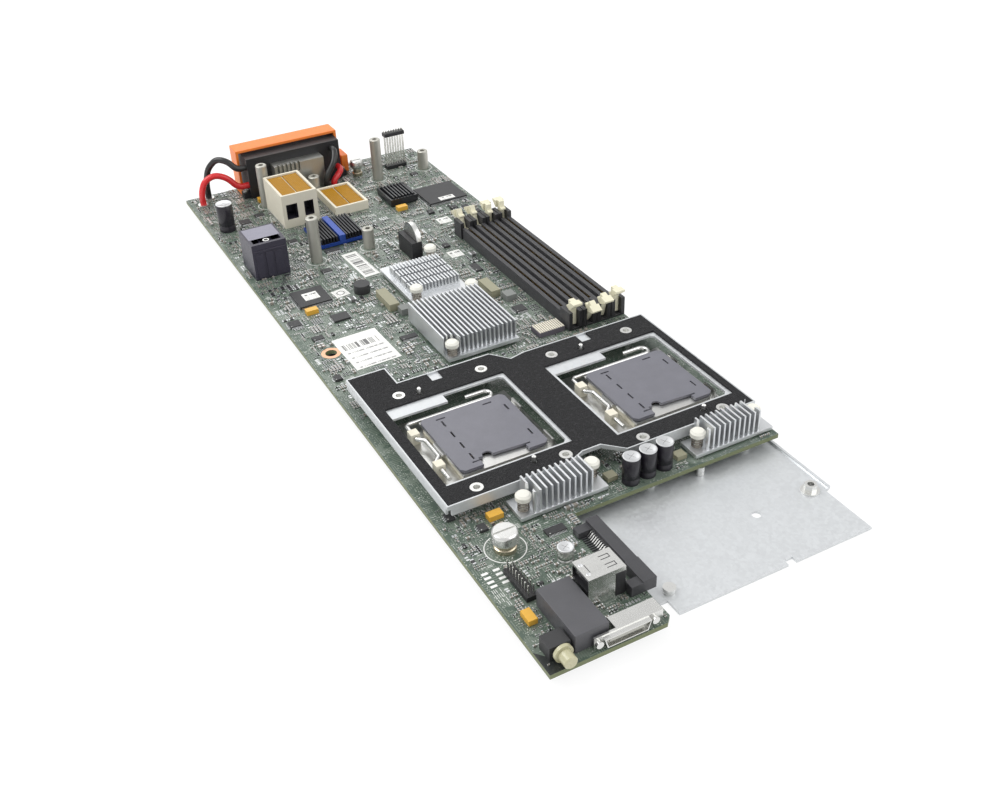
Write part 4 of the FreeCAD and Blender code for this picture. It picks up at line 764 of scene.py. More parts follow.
def helix(x: float, y: float, low: float, high: float, radius: float, turns: float, wire: float) -> Mesh:
    """A coil spring of round wire whose end turns lie flat.

    The height for the share s of the length is low + (high - low) * (3 s^2 - 2 s^3), so that the pitch
    fades to nothing at both ends, and the angle is 2 pi * turns * s. Each ring of the wire lies across
    the path's tangent t, on the vectors u = t x z and v = u x t.

    Args:
        x: place of the axis.
        y: place of the axis.
        low: height of the wire's middle at the foot.
        high: height of the wire's middle at the top.
        radius: distance of the wire's middle from the axis.
        turns: number of turns.
        wire: radius of the wire.

    Returns:
        Points and quads; the ends are closed by a ring of no radius.
    """
    steps, segments = 14, 6
    share = np.linspace(0, 1, int(turns * steps) + 1)
    angle = 2 * np.pi * turns * share
    height = low + (high - low) * (3 * share ** 2 - 2 * share ** 3)
    path = np.stack([x + radius * np.cos(angle), y + radius * np.sin(angle), height], axis=-1)
    tangent = np.gradient(path, axis=0)
    tangent /= np.linalg.norm(tangent, axis=1, keepdims=True)
    across = np.cross(tangent, [[0.0, 0.0, 1.0]])
    across /= np.linalg.norm(across, axis=1, keepdims=True)
    up = np.cross(across, tangent)
    rows = np.concatenate([[0], np.arange(len(path)), [len(path) - 1]])
    radii = np.full(len(rows), wire)
    radii[[0, -1]] = 0.0
    angle = np.linspace(0, 2 * np.pi, segments, endpoint=False)
    ring = (np.cos(angle)[None, :, None] * across[rows][:, None] +
            np.sin(angle)[None, :, None] * up[rows][:, None])
    points = path[rows][:, None] + ring * radii[:, None, None]
    return points.reshape(-1, 3), wrapped_quads(1, len(rows), segments)[:, ::-1]


def legs(roots: Rows, headings: np.ndarray, profile: Sequence[Tuple[float, float]], width: float,
         thick: float = 0.15) -> Mesh:
    """Bent strips that leave a body and come down to the board.

    A profile point (o, h) lies at the root + o * (cos a, sin a), h over the root, for the heading a.

    Args:
        roots: (n, 3) places where the strips leave the body.
        headings: (n,) directions in radians.
        profile: (outward, height) pairs of the strip's underside.
        width: the strip's width.
        thick: the strip's thickness.

    Returns:
        Points and quads.
    """
    roots, headings = rows_of(roots), np.asarray(headings, float)
    out, height = np.array(profile, float).T
    way = np.stack([np.cos(headings), np.sin(headings)], axis=-1)
    side = np.stack([-way[:, 1], way[:, 0]], axis=-1)
    corners = np.array([[-0.5, 0], [0.5, 0], [0.5, 1], [-0.5, 1]])
    points = np.zeros((len(roots), len(out), 4, 3))
    points[..., :2] = (roots[:, None, None, :2] + way[:, None, None] * out[None, :, None, None] +
                       side[:, None, None] * corners[None, None, :, :1] * width)
    points[..., 2] = roots[:, None, None, 2] + height[None, :, None] + corners[None, None, :, 1] * thick
    return points.reshape(-1, 3), wrapped_quads(len(roots), len(out), 4)


def frames(centres: np.ndarray, sizes: np.ndarray, line: float, thick: float) -> Mesh:
    """Thin rectangular outlines, four strips to each.

    Args:
        centres: (n, 2) middles.
        sizes: (n, 2) outer lengths.
        line: width of a strip.
        thick: height of a strip.

    Returns:
        Points and quads.
    """
    spots, lengths = [], []
    for axis in (0, 1):
        for side in (-1, 1):
            shift = np.zeros_like(centres)
            shift[:, axis] = side * sizes[:, axis] / 2
            spots.append(centres + shift)
            length = np.full_like(sizes, line)
            length[:, 1 - axis] = sizes[:, 1 - axis] + line
            lengths.append(length)
    flat, wide = np.concatenate(spots), np.concatenate(lengths)
    zeros = np.zeros((len(flat), 1))
    return slabs(np.hstack([flat, zeros]), np.hstack([wide, zeros + thick]))


def rippled(x: Tuple[float, float], y: Tuple[float, float], z: float, swell: float, steps: int = 26) -> Mesh:
    """A thin film that lies over a rectangle, pinned at its rim.

    Its height is z + swell * w^2 / 2 * sin(pi u) sin(pi v), where w is
    sin(3u + 0.4) sin(5v + 1.1) + sin(7(u + v)) / 2.

    Args:
        x: first and last x.
        y: first and last y.
        z: height of its lowest places.
        swell: height of its folds.
        steps: faces along each side.

    Returns:
        Points and quads.
    """
    u, v = np.meshgrid(np.linspace(0, 1, steps + 1), np.linspace(0, 1, steps + 1), indexing="ij")
    wave = np.sin(3 * u + 0.4) * np.sin(5 * v + 1.1) + np.sin(7 * (u + v)) / 2
    height = z + swell * wave ** 2 / 2 * np.sin(np.pi * u) * np.sin(np.pi * v)
    points = np.stack([x[0] + (x[1] - x[0]) * u, y[0] + (y[1] - y[0]) * v, height], axis=-1)
    row, column = np.meshgrid(np.arange(steps), np.arange(steps), indexing="ij")
    first = (row * (steps + 1) + column).reshape(-1)
    quads = np.stack([first, first + steps + 1, first + steps + 2, first + 1], axis=-1)
    return points.reshape(-1, 3), quads


def added(name: str, data: Any) -> bpy.types.Object:
    """Puts a new object into the scene.

    Args:
        name: the object's name.
        data: its mesh, camera or lamp.

    Returns:
        The object.
    """
    item = bpy.data.objects.new(name, data)
    bpy.context.scene.collection.objects.link(item)
    return item


class Assembly:
    """What every sub-assembly can do: make a piece, or dress a node of the frame."""

    body = "board"
    finishes: Dict[str, bpy.types.Material] = {}

    def finish(self, finish: Any) -> bpy.types.Material:
        """Returns the material of a finish, made once."""
        if finish.name not in self.finishes:
            self.finishes[finish.name] = finish.make()
        return self.finishes[finish.name]

    def piece(self, name: str, mesh: Mesh, finish: Any, smooth: bool = False,
              replaces: Sequence[str] = ()) -> None:
        """Makes a piece of the object from points in millimetres on the board.

        Args:
            name: the piece's name.
            mesh: points and quads.
            finish: what it is finished with.
            smooth: whether faces shade smoothly up to a sharp angle.
            replaces: nodes of the frame it stands for.
        """
        points, quads = mesh
        data = bpy.data.meshes.new(name)
        data.from_pydata(PLAN.place(points).tolist(), [], quads.tolist())
        data.validate()
        data.materials.append(self.finish(finish))
        item = added(name, data)
        if smooth:
            data.shade_smooth()
            data.set_sharp_from_angle(angle=SMOOTH_ANGLE)
        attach(item, self.body)
        if replaces:
            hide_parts(*replaces)
        LOG.info("%s: %d faces", name, len(data.polygons))

    def dress(self, node: str, finish: Any, bevel: float = 0.0, round_form: bool = False) -> None:
        """Finishes a node of the frame.

        Args:
            node: the node's name.
            finish: what it is finished with.
            bevel: width in millimetres of the rounding on its sharp edges.
            round_form: whether its curved faces shade smoothly.
        """
        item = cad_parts[node]
        item.data.materials.clear()
        item.data.materials.append(self.finish(finish))
        item.modifiers.new("Weld", "WELD").merge_threshold = WELD_REACH
        if bevel:
            edge = item.modifiers.new("Bevel", "BEVEL")
            edge.width = bevel * MM
            edge.segments = 2
            edge.limit_method = "ANGLE"
            edge.angle_limit = BEVEL_ANGLE
        if round_form:
            item.data.shade_smooth()
            item.modifiers.new("Split", "EDGE_SPLIT").split_angle = SPLIT_ANGLE
        LOG.info("%s dressed as %s", node, finish.name)

    def dress_all(self, *rows: Tuple[Any, ...]) -> None:
        """Finishes several nodes.

        Args:
            rows: what dress takes for each node, in its order.
        """
        for row in rows:
            self.dress(*row)

    def clumps(self, node: str, reach: float) -> np.ndarray:
        """Finds the middles of a node's separate round solids.

        The first point left over gathers every point within the reach, and the gathered box gives a
        middle; this goes on until no point is left.

        Args:
            node: the node's name.
            reach: a length in millimetres over the width of one solid and under their spacing.

        Returns:
            One row of x, y, lowest z and highest z for each solid, in millimetres on the board.
        """
        points = PLAN.vertices(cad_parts[node].data)
        rows = []
        while len(points):
            near = np.hypot(*(points[:, :2] - points[0, :2]).T) < reach
            low, high = points[near].min(axis=0), points[near].max(axis=0)
            rows.append((*((low + high) / 2)[:2], low[2], high[2]))
            points = points[~near]
        return np.array(rows)


@dataclass
class Studio:
    """Camera, soft light, pale floor and white surroundings."""

    lens: float = 41.06
    azimuth: float = -27.294
    elevation: float = 34.772
    roll: float = -2.232
    spot: Tuple[float, float, float] = (-149.7, -257.4, 335.7)
    floor_reach: float = 30.0
    lamps: Tuple[Tuple[str, Tuple[float, float, float], float, float], ...] = (
        ("key", (-0.9, 0.5, 1.3), 1.1, 15), ("fill", (0.9, -0.9, 1.0), 1.4, 8),
        ("rear", (0.2, 1.1, 0.8), 0.7, 1.8))

    def camera(self) -> None:
        """Sets the camera: its back vector is (sin a cos e, -cos a cos e, sin e), then it rolls."""
        a, e, roll = (math.radians(angle) for angle in (self.azimuth, self.elevation, self.roll))
        back = np.array([math.sin(a) * math.cos(e), -math.cos(a) * math.cos(e), math.sin(e)])
        right = np.array([math.cos(a), math.sin(a), 0.0])
        up = np.cross(back, right)
        turned = math.cos(roll) * right + math.sin(roll) * up
        raised = -math.sin(roll) * right + math.cos(roll) * up
        data = bpy.data.cameras.new("camera")
        data.lens = self.lens
        data.sensor_width = 36.0
        data.clip_start = 0.01
        data.clip_end = 100.0
        matrix = np.eye(4)
        matrix[:3] = np.column_stack([turned, raised, back, PLAN.place(self.spot)])
        item = added("camera", data)
        item.matrix_world = Matrix(matrix.tolist())
        bpy.context.scene.camera = item

    def lamp(self, name: str, spot: Tuple[float, float, float], size: float, watts: float) -> None:
        """Adds a square soft light that faces the object's middle.

        Args:
            name: the lamp's name.
            spot: its place in metres.
            size: its side in metres.
            watts: its power.
        """
        data = bpy.data.lights.new(name, "AREA")
        data.size = size
        data.energy = watts
        item = added(name, data)
        item.location = spot
        item.rotation_euler = (-Vector(spot)).to_track_quat("-Z", "Y").to_euler()

    def surroundings(self) -> None:
        """Sets the world: full white for the camera, a little less for every other ray."""
        world = bpy.data.worlds.new("surroundings")
        bpy.context.scene.world = world
        tree = cleared(world)
        rays = tree.nodes.new("ShaderNodeLightPath")
        seen = Wire(tree, rays.outputs["Is Camera Ray"])
        ground = tree.nodes.new("ShaderNodeBackground")
        put(tree, ground.inputs["Color"], (1, 1, 1))
        put(tree, ground.inputs["Strength"], seen * 0.2 + 0.8)
        out = tree.nodes.new("ShaderNodeOutputWorld")
        tree.links.new(ground.outputs[0], out.inputs[0])

    def floor(self) -> None:
        """Lays a pale plane under the tray that looks white to the camera and keeps a light shadow."""
        side, low = 2 * self.floor_reach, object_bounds()[0][2] - 0.0002
        data = bpy.data.meshes.new("floor")
        data.from_pydata([(side * x, side * y, low) for x, y in CORNERS.tolist()], [], [(0, 1, 2, 3)])
        material = bpy.data.materials.new("floor_paint")
        tree = cleared(material)
        rays = tree.nodes.new("ShaderNodeLightPath")
        camera, glossy, through = (Wire(tree, rays.outputs[name]) for name in
                                   ("Is Camera Ray", "Is Glossy Ray", "Is Transmission Ray"))
        paint = tree.nodes.new("ShaderNodeBsdfDiffuse")
        put(tree, paint.inputs["Color"], (0.9, 0.9, 0.9))
        glow = tree.nodes.new("ShaderNodeEmission")
        put(tree, glow.inputs["Color"], (1, 1, 1))
        put(tree, glow.inputs["Strength"], 1.08)
        mix = tree.nodes.new("ShaderNodeMixShader")
        put(tree, mix.inputs[0], camera.larger(glossy).larger(through) * 0.78)
        out = tree.nodes.new("ShaderNodeOutputMaterial")
        for start, end in ((paint, mix.inputs[1]), (glow, mix.inputs[2]), (mix, out.inputs[0])):
            tree.links.new(start.outputs[0], end)
        data.materials.append(material)
        added("floor", data)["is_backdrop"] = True

    def build(self) -> None:
        """Sets up the whole studio."""
        bpy.context.scene.view_settings.view_transform = "Standard"
        self.camera()
        self.surroundings()
        self.floor()
        for lamp in self.lamps:
            self.lamp(*lamp)


ZINC = Spangle("zinc_sheet")
PLATED = Metal("plated_steel", (0.80, 0.80, 0.78), 0.3, grain=1400.0, tarnish=0.1, depth=0.000008)
STAMPED = Metal("stamped_steel", (0.74, 0.74, 0.72), 0.34, Axis.Y)
WIRE_STEEL = Metal("bright_wire", (0.84, 0.84, 0.82), 0.2)
SPRING = Metal("spring_wire", (0.36, 0.33, 0.29), 0.32)
POST = Metal("matt_post", (0.56, 0.55, 0.50), 0.55, tarnish=0.1)
FERRULE = Metal("warm_ferrule", (0.66, 0.58, 0.44), 0.3)
EXTRUSION = Metal("extruded_aluminium", (0.77, 0.785, 0.80), 0.48, Axis.Y, tarnish=0.06)
COMB = Metal("comb_block", (0.56, 0.56, 0.53), 0.42, Axis.Z)
COPPER = Metal("copper_ring", (0.80, 0.46, 0.30), 0.35)
GOLD = Metal("gilt_contacts", (0.80, 0.62, 0.30), 0.25)
SOLDER = Metal("solder", (0.78, 0.79, 0.80), 0.4)
DARK_FINS = Moulding("black_anodised", (0.012, 0.013, 0.016), 0.36, coat=0.2)
BLACK = Moulding("black_moulding", (0.018, 0.018, 0.020), 0.45)
RAIL = Moulding("memory_rail", (0.014, 0.014, 0.016), 0.5, depth=0.00012, ribs=0.0013)
DRIVE = Moulding("drive_moulding", (0.050, 0.050, 0.055), 0.5)
CAP = Moulding("dark_cap", (0.150, 0.150, 0.175), 0.42, coat=0.15)
IVORY = Moulding("ivory_moulding", (0.74, 0.71, 0.54), 0.5, 0.06)
PIN_WHITE = Moulding("pin_moulding", (0.76, 0.75, 0.68), 0.45, 0.05)
CREAM = Moulding("cream_moulding", (0.74, 0.70, 0.58), 0.5, 0.08)
ORANGE = Moulding("orange_moulding", (0.86, 0.22, 0.035), 0.42)
PLUM = Moulding("dark_receptacle", (0.035, 0.032, 0.05), 0.38)
LILAC = Moulding("grey_film", (0.24, 0.235, 0.29), 0.45)
GREY = Moulding("grey_moulding", (0.082, 0.082, 0.090), 0.45)
OLIVE = Moulding("button_moulding", (0.46, 0.44, 0.28), 0.3, coat=0.5)
EPOXY = Moulding("chip_epoxy", (0.035, 0.035, 0.037), 0.5)
RED_LEAD = Moulding("red_lead", (0.60, 0.014, 0.018), 0.3, coat=0.3)
BLACK_LEAD = Moulding("black_lead", (0.012, 0.012, 0.012), 0.34, coat=0.2)
CERAMIC = Moulding("ceramic_capacitor", (0.27, 0.245, 0.21), 0.4, 0.3)
RESISTOR = Moulding("resistor_body", (0.030, 0.030, 0.032), 0.35)
COIL = Moulding("coil_body", (0.13, 0.13, 0.13), 0.6, 0.2)
SILK = Moulding("board_ink", (0.66, 0.68, 0.64), 0.6, 0.05)
WHITE = Moulding("white_ink", (0.80, 0.80, 0.78), 0.6, 0.03)
AMBER = Film("amber_film")
KHAKI, GREY_LID, BUZZER = (0.30, 0.29, 0.20), (0.20, 0.21, 0.20), (0.11, 0.10, 0.12)
TANTALUM, CAN = (0.72, 0.40, 0.05), (0.78, 0.78, 0.76)
ROUND = True


@dataclass
class Tray(Assembly):
    """Zinc-coated sheet under the board, with its spacers, nut and stud."""

    def build(self) -> None:
        """Dresses the tray's nodes."""
        self.dress_all(("base_tray", ZINC), ("tray_standoffs", PLATED, 0.2))


@dataclass(frozen=True)
class Part:
    """One size of small part: its body, and how often it turns up."""

    kind: str
    length: float
    width: float
    rise: float
    share: float


@dataclass(frozen=True)
class Package:
    """A chip with gull-wing legs on two or four of its sides."""

    x: float
    y: float
    wide: float
    deep: float
    rise: float
    pitch: float
    sides: Tuple[int, ...] = (0, 1, 2, 3)
    inset: float = 1.2
    overlap: float = 0.05

    def outline(self) -> Tuple[np.ndarray, np.ndarray]:
        """Returns the roots and headings of its legs; heading number n is a quarter turn n times."""
        roots, headings = [], []
        middle = np.array([self.x + self.wide / 2, self.y + self.deep / 2])
        for side in self.sides:
            across, along = (self.wide, self.deep) if side % 2 == 0 else (self.deep, self.wide)
            count = int((along - self.inset) / self.pitch) + 1
            step = (np.arange(count) - (count - 1) / 2) * self.pitch
            angle = side * QUARTER
            out = np.array([math.cos(angle), math.sin(angle)])
            turned = np.array([-math.sin(angle), math.cos(angle)])
            spots = middle + (across / 2 - self.overlap) * out + step[:, None] * turned
            roots.append(np.column_stack([spots, np.zeros(count)]))
            headings.append(np.full(count, angle))
        return np.concatenate(roots), np.concatenate(headings)

    def wings(self) -> Mesh:
        """Returns the legs: out of the body at half its height, then down to a flat foot."""
        half = self.rise / 2
        profile = [(0.0, half), (0.3, half), (0.55, 0.1), (1.15, 0.02)]
        return legs(*self.outline(), profile, self.pitch * 0.45)


@dataclass
class Board(Assembly):
    """The circuit board with its small parts, packages, labels and printed marks.

    The rectangles in clear hold left, front, right and rear; tongue holds the x over which, and the y
    under which, there is no board; edges holds the margin at the left and front, the last x and the
    last y; socket_clear holds the room left free round a socket's frame.
    """

    cell: float = 0.25
    margin: float = 0.4
    overhead: float = 2.4
    seed: int = 11
    clusters: int = 7000
    sample_block: int = 2_000_000
    kinds: Tuple[Part, ...] = (
        Part("ceramic", 1.6, 0.8, 0.8, 0.22), Part("ceramic", 2.0, 1.25, 1.2, 0.10),
        Part("ceramic", 1.0, 0.5, 0.5, 0.14), Part("resistor", 1.6, 0.8, 0.5, 0.14),
        Part("resistor", 1.0, 0.5, 0.35, 0.14), Part("resistor", 3.2, 1.6, 0.6, 0.03),
        Part("ceramic", 3.2, 1.6, 1.5, 0.03), Part("coil", 4.2, 4.0, 1.9, 0.015),
        Part("pads", 1.6, 0.9, 0.03, 0.10), Part("marks", 2.4, 0.22, 0.02, 0.08))
    flat_chips: Tuple[Package, ...] = (
        Package(15.8, 313.7, 20, 20, 1.8, 0.5), Package(141.8, 399.8, 28, 28, 2.2, 0.65),
        Package(27.5, 289.2, 10, 8, 1.2, 0.65, (0, 2)))
    small_sizes: Tuple[Tuple[Any, ...], ...] = (
        (4.9, 3.9, 1.5, 1.27, (1, 3)), (6.5, 4.4, 1.1, 0.65, (1, 3)), (2.9, 1.4, 1.0, 0.95, (1, 3)),
        (9.7, 4.4, 1.1, 0.65, (1, 3)), (7.0, 7.0, 1.2, 0.8, (0, 1, 2, 3)), (2.9, 1.4, 1.0, 0.95, (1, 3)))
    packages: int = 46
    package_tries: int = 4000
    package_room: float = 2.8
    stand_off: float = 0.08
    electrolytics: Tuple[Tuple[float, float, float, float], ...] = (
        (92.2, 82.3, 4.25, 14.8), (101.9, 83.0, 4.25, 14.8), (111.8, 83.7, 4.25, 14.8),
        (38.9, 52.7, 3.7, 6.9), (11.5, 441.1, 5.3, 19.1))
    posts: Tuple[Tuple[float, float], ...] = (
        (46.3, 367), (46.3, 463), (130.3, 463), (82.3, 367), (82.3, 463), (166.3, 463))
    post_clear: float = 6.5
    clear: Tuple[Tuple[float, float, float, float], ...] = (
        (18.0, 235.0, 46.8, 274.0), (61.5, 329.5, 74.5, 367.5), (7.5, 254.2, 19.5, 266.2),
        (38.5, 315.5, 48.5, 325.5), (10.0, 61.8, 29.8, 81.6), (2.4, 51.5, 12.2, 64.0),
        (50.0, 41.0, 57.5, 60.5), (135.5, 371.4, 145.5, 381.4), (120.3, 324.2, 130.3, 334.2))
    tongue: Tuple[float, float] = (57.0, 77.5)
    edges: Tuple[float, float, float] = (1.2, 173.4, 500.8)
    socket_clear: Tuple[float, float, float, float] = (12.0, 4.0, 6.0, 14.0)
    chip_clear: float = 1.6
    stickers: Tuple[Tuple[float, Sticker], ...] = (
        (0.03, Sticker("big_label", (32.0, 254.4), 0.03, (13.4, 17.8), (0.2, 0.55))),
        (0.03, Sticker("strip_label", (68.1, 348.6), 1.62, (17.6, 5.2), (-0.6, 0.7))),
        (1.83, Sticker("chip_label_left", (25.8, 323.7), 0.0, (4.6, 4.4), (0.3, 0.6))),
        (2.23, Sticker("chip_label_right", (156.0, 403.6), 0.0, (5.5, 2.6), (0.2, 0.7))),
        (0.03, Sticker("round_mark_label", (43.5, 320.5), 0.12, (4.4, 4.4), (3.0, 4.0))),
        (0.03, Sticker("small_label_rear", (140.5, 376.4), 0.0, (4.4, 4.4), (0.2, 0.6))),
        (0.03, Sticker("small_label_front", (125.3, 329.2), 0.0, (4.4, 4.4), (0.2, 0.6))))

    def footprint(self, data: bpy.types.Mesh, shape: Tuple[int, ...]) -> np.ndarray:
        """Marks the cells under one node's low faces.

        A triangle is sampled at (1 - u - v) a + u b + v c on a grid as fine as a cell; triangles of like
        size are sampled together.

        Args:
            data: the node's mesh.
            shape: cells along X and Y.

        Returns:
            A grid of booleans.
        """
        grid = np.zeros(shape, bool)
        data.calc_loop_triangles()
        corners = np.zeros(len(data.loop_triangles) * 3, np.int64)
        data.loop_triangles.foreach_get("vertices", corners)
        triangles = PLAN.vertices(data)[corners.reshape(-1, 3)]
        triangles = triangles[triangles[..., 2].min(axis=1) < self.overhead]
        reach = np.abs(triangles - triangles[:, :1]).max(axis=(1, 2))
        level = np.ceil(np.log2(reach / self.cell + 1)).astype(int)
        for step in np.unique(level):
            share = np.linspace(0, 1, 2 ** int(step) + 1)
            u, v = np.meshgrid(share, share)
            inside = u + v <= 1.0001
            weights = np.stack([1 - u[inside] - v[inside], u[inside], v[inside]], axis=-1)
            alike = triangles[level == step][..., :2]
            blocks = max(1, len(alike) * len(weights) // self.sample_block)
            for block in np.array_split(alike, blocks):
                samples = np.einsum("sk,tkc->tsc", weights, block).reshape(-1, 2)
                index = np.floor(samples / self.cell).astype(int)
                keep = ((index >= 0) & (index < np.array(shape))).all(axis=1)
                grid[tuple(index[keep].T)] = True
        return grid

    def free(self) -> np.ndarray:
        """Returns the grid of cells where a small part may lie."""
        shape = tuple(np.ceil(PLAN.box("main_board")[1][:2] / self.cell).astype(int) + 1)
        under = np.zeros(shape, bool)
        for name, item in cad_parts.items():
            if name not in ("main_board", "base_tray", "tray_standoffs"):
                under |= self.footprint(item.data, shape)
        reach = int(math.ceil(self.margin / self.cell))
        taken = under.copy()
        for dx in range(-reach, reach + 1):
            for dy in range(-reach, reach + 1):
                taken |= np.roll(np.roll(under, dx, 0), dy, 1)
        x = np.arange(shape[0])[:, None] * self.cell
        y = np.arange(shape[1])[None] * self.cell
        start, last_x, last_y = self.edges
        taken |= (x > self.tongue[0]) & (y < self.tongue[1])
        taken |= (x > last_x) | (y > last_y) | (x < start) | (y < start)
        areas = list(self.clear)
        for side in ("left", "right"):
            low, high = PLAN.box(f"socket_frame_{side}")
            room = self.socket_clear
            areas.append((low[0] - room[0], low[1] - room[1], high[0] + room[2], high[1] + room[3]))
        for chip in self.flat_chips:
            areas.append((chip.x - self.chip_clear, chip.y - self.chip_clear,
                          chip.x + chip.wide + self.chip_clear, chip.y + chip.deep + self.chip_clear))
        for left, front, right, rear in areas:
            taken |= (x > left) & (x < right) & (y > front) & (y < rear)
        for post_x, post_y in self.posts:
            taken |= np.hypot(x - post_x, y - post_y) < self.post_clear
        return ~taken

    def settle(self, free: np.ndarray, x: float, y: float, wide: float, deep: float) -> bool:
        """Takes a rectangle of cells if all of it is free.

        Args:
            free: the grid, changed when the rectangle is taken.
            x: middle of the rectangle.
            y: middle of the rectangle.
            wide: length along X.
            deep: length along Y.

        Returns:
            Whether the rectangle was free.
        """
        low = np.floor(np.array([x - wide / 2, y - deep / 2]) / self.cell).astype(int)
        high = np.ceil(np.array([x + wide / 2, y + deep / 2]) / self.cell).astype(int)
        if (low < 0).any() or (high >= free.shape).any():
            return False
        area = free[low[0]:high[0], low[1]:high[1]]
        if not area.all():
            return False
        area[:] = False
        return True

    def chips(self, free: np.ndarray, chance: np.random.Generator) -> None:
        """Adds small packages with legs where there is room, and the legs of the large ones.

        Args:
            free: the grid of free cells.
            chance: the source of random draws.
        """
        small: List[Package] = []
        for _ in range(self.package_tries):
            if len(small) >= self.packages:
                break
            wide, deep, rise, pitch, sides = self.small_sizes[chance.integers(len(self.small_sizes))]
            if chance.random() < 0.5:
                wide, deep, sides = deep, wide, tuple((side + 1) % 4 for side in sides)
            x, y = chance.uniform(2, 172), chance.uniform(2, 499)
            if self.settle(free, x, y, wide + self.package_room, deep + self.package_room):
                small.append(Package(x - wide / 2, y - deep / 2, wide, deep, rise, pitch, sides))
        places = np.array([(chip.x + chip.wide / 2, chip.y + chip.deep / 2, self.stand_off)
                           for chip in small])
        lengths = np.array([(chip.wide, chip.deep, chip.rise - self.stand_off) for chip in small])
        self.piece("board_small_packages", bricks(places, lengths, bevel=0.1), EPOXY)
        wings = joined([chip.wings() for chip in (*small, *self.flat_chips)])
        self.piece("board_package_legs", wings, SOLDER)
        dots = places + np.column_stack([-lengths[:, :2] * 0.36, lengths[:, 2]])
        disc = [(0.0, 0.0), (0.28, 0.0), (0.28, 0.01), (0.0, 0.01)]
        self.piece("board_pin_one_dots", lathed(disc, dots, 10), SILK)

    def scatter(self, free: np.ndarray, chance: np.random.Generator) -> Tuple[Dict[str, Any], np.ndarray]:
        """Lays clusters of like parts in rows where there is room.

        Args:
            free: the grid of free cells.
            chance: the source of random draws.

        Returns:
            For each kind its rows of x, y, length, width, rise and turn, and the printed outlines' rows
            of x, y and both lengths.
        """
        shares = np.array([part.share for part in self.kinds])
        placed: Dict[str, List[Tuple[float, ...]]] = {part.kind: [] for part in self.kinds}
        outlines: List[Tuple[float, ...]] = []
        for _ in range(self.clusters):
            part = self.kinds[chance.choice(len(self.kinds), p=shares / shares.sum())]
            x, y = chance.uniform(2, 173), chance.uniform(2, 500)
            turn = int(chance.integers(0, 2))
            wide, deep = (part.width, part.length) if turn else (part.length, part.width)
            columns, rows = chance.integers(1, 6), chance.integers(1, 5)
            if part.kind == "coil":
                columns, rows = 1, 1
            gap = chance.uniform(0.35, 0.8, 2)
            step_x, step_y = wide + gap[0], deep + gap[1]
            hits = 0
            for column in range(columns):
                for row in range(rows):
                    px, py = x + column * step_x, y + row * step_y
                    if chance.random() > 0.1 and self.settle(free, px, py, wide + 0.3, deep + 0.3):
                        placed[part.kind].append((px, py, part.length, part.width, part.rise, turn * QUARTER))
                        hits += 1
            if hits == columns * rows and part.kind != "marks" and chance.random() < 0.7:
                across, along = columns * step_x, rows * step_y
                outlines.append((x + (across - wide - gap[0]) / 2, y + (along - deep - gap[1]) / 2,
                                 across, along))
        return placed, np.array(outlines)

    def small_parts(self, free: np.ndarray, chance: np.random.Generator) -> None:
        """Makes the small parts' bodies, soldered ends, pads and ink.

        Args:
            free: the grid of free cells.
            chance: the source of random draws.
        """
        placed, outlines = self.scatter(free, chance)
        for kind, finish in (("ceramic", CERAMIC), ("resistor", RESISTOR), ("coil", COIL)):
            x, y, length, width, rise, turn = np.array(placed[kind]).T
            foot = np.zeros(len(x))
            bodies = slabs(np.column_stack([x, y, foot + 0.02]),
                           np.column_stack([length * 0.64, width * 0.97, rise]), turn)
            self.piece(f"board_{kind}_bodies", bodies, finish)
            sizes = np.column_stack([length * 0.22, width, rise + 0.04])
            ends = []
            for side in (-1, 1):
                shift = length * 0.40 * side
                spots = np.column_stack([x + shift * np.cos(turn), y + shift * np.sin(turn), foot])
                ends.append(slabs(spots, sizes, turn))
            self.piece(f"board_{kind}_ends", joined(ends), SOLDER)
        for kind, finish in (("pads", SOLDER), ("marks", WHITE)):
            rows = np.array(placed[kind])
            spots = np.column_stack([rows[:, :2], np.zeros(len(rows))])
            self.piece(f"board_{kind}", slabs(spots, rows[:, 2:5], rows[:, 5]), finish)
        self.piece("board_ink_outlines", frames(outlines[:, :2], outlines[:, 2:], 0.16, 0.015), SILK)

    def labels(self) -> None:
        """Adds the plain paper labels with generic bars, the copper ring, the ink rings and the pads."""
        for rise, label in self.stickers:
            sheet = slabs([*label.middle, rise], [2 * label.half[0], 2 * label.half[1], 0.09], [label.turn])
            self.piece(label.name, sheet, label)
        self.piece("round_mark", washers([43.5, 320.5, 0.12], 2.0, 2.5, 0.02), RESISTOR)
        self.piece("hole_ring", washers([13.5, 260.2, 0.0], 3.3, 5.5, 0.05), COPPER)
        self.piece("screw_ink_ring", washers([19.9, 71.7, 0.0], 9.1, 9.6, 0.03, 64), WHITE)
        rings = [(x, y, 0.0) for x, y in self.posts]
        self.piece("post_ink_rings", washers(rings, 5.7, 6.1, 0.03, 48), WHITE)
        stripes = [(x, 53.4 + 2.8 * row, 0.0) for x in (4.4, 10.0) for row in range(4)]
        self.piece("front_pads", slabs(stripes, [(3.1, 1.4, 0.04)] * len(stripes)), WHITE)

    def cans(self) -> None:
        """Adds the pressed tops and rolled shoulders of the electrolytic capacitors."""
        for number, (x, y, radius, top) in enumerate(self.electrolytics):
            profile = [(radius - 0.02, -0.3), (radius - 0.02, 0.02), (radius - 0.3, 0.14),
                       (radius - 0.75, 0.12), (radius - 0.9, 0.04), (0.0, 0.04)]
            self.piece(f"can_top_{number}", lathed(profile, [x, y, top], 40), SOLDER, smooth=True)
            sizes = [(radius * 1.1, 0.14, 0.01), (0.14, radius * 1.1, 0.01)]
            cross = slabs([(x, y, top + 0.05)] * 2, sizes, [0.5, 0.5])
            self.piece(f"can_score_{number}", cross, COIL)

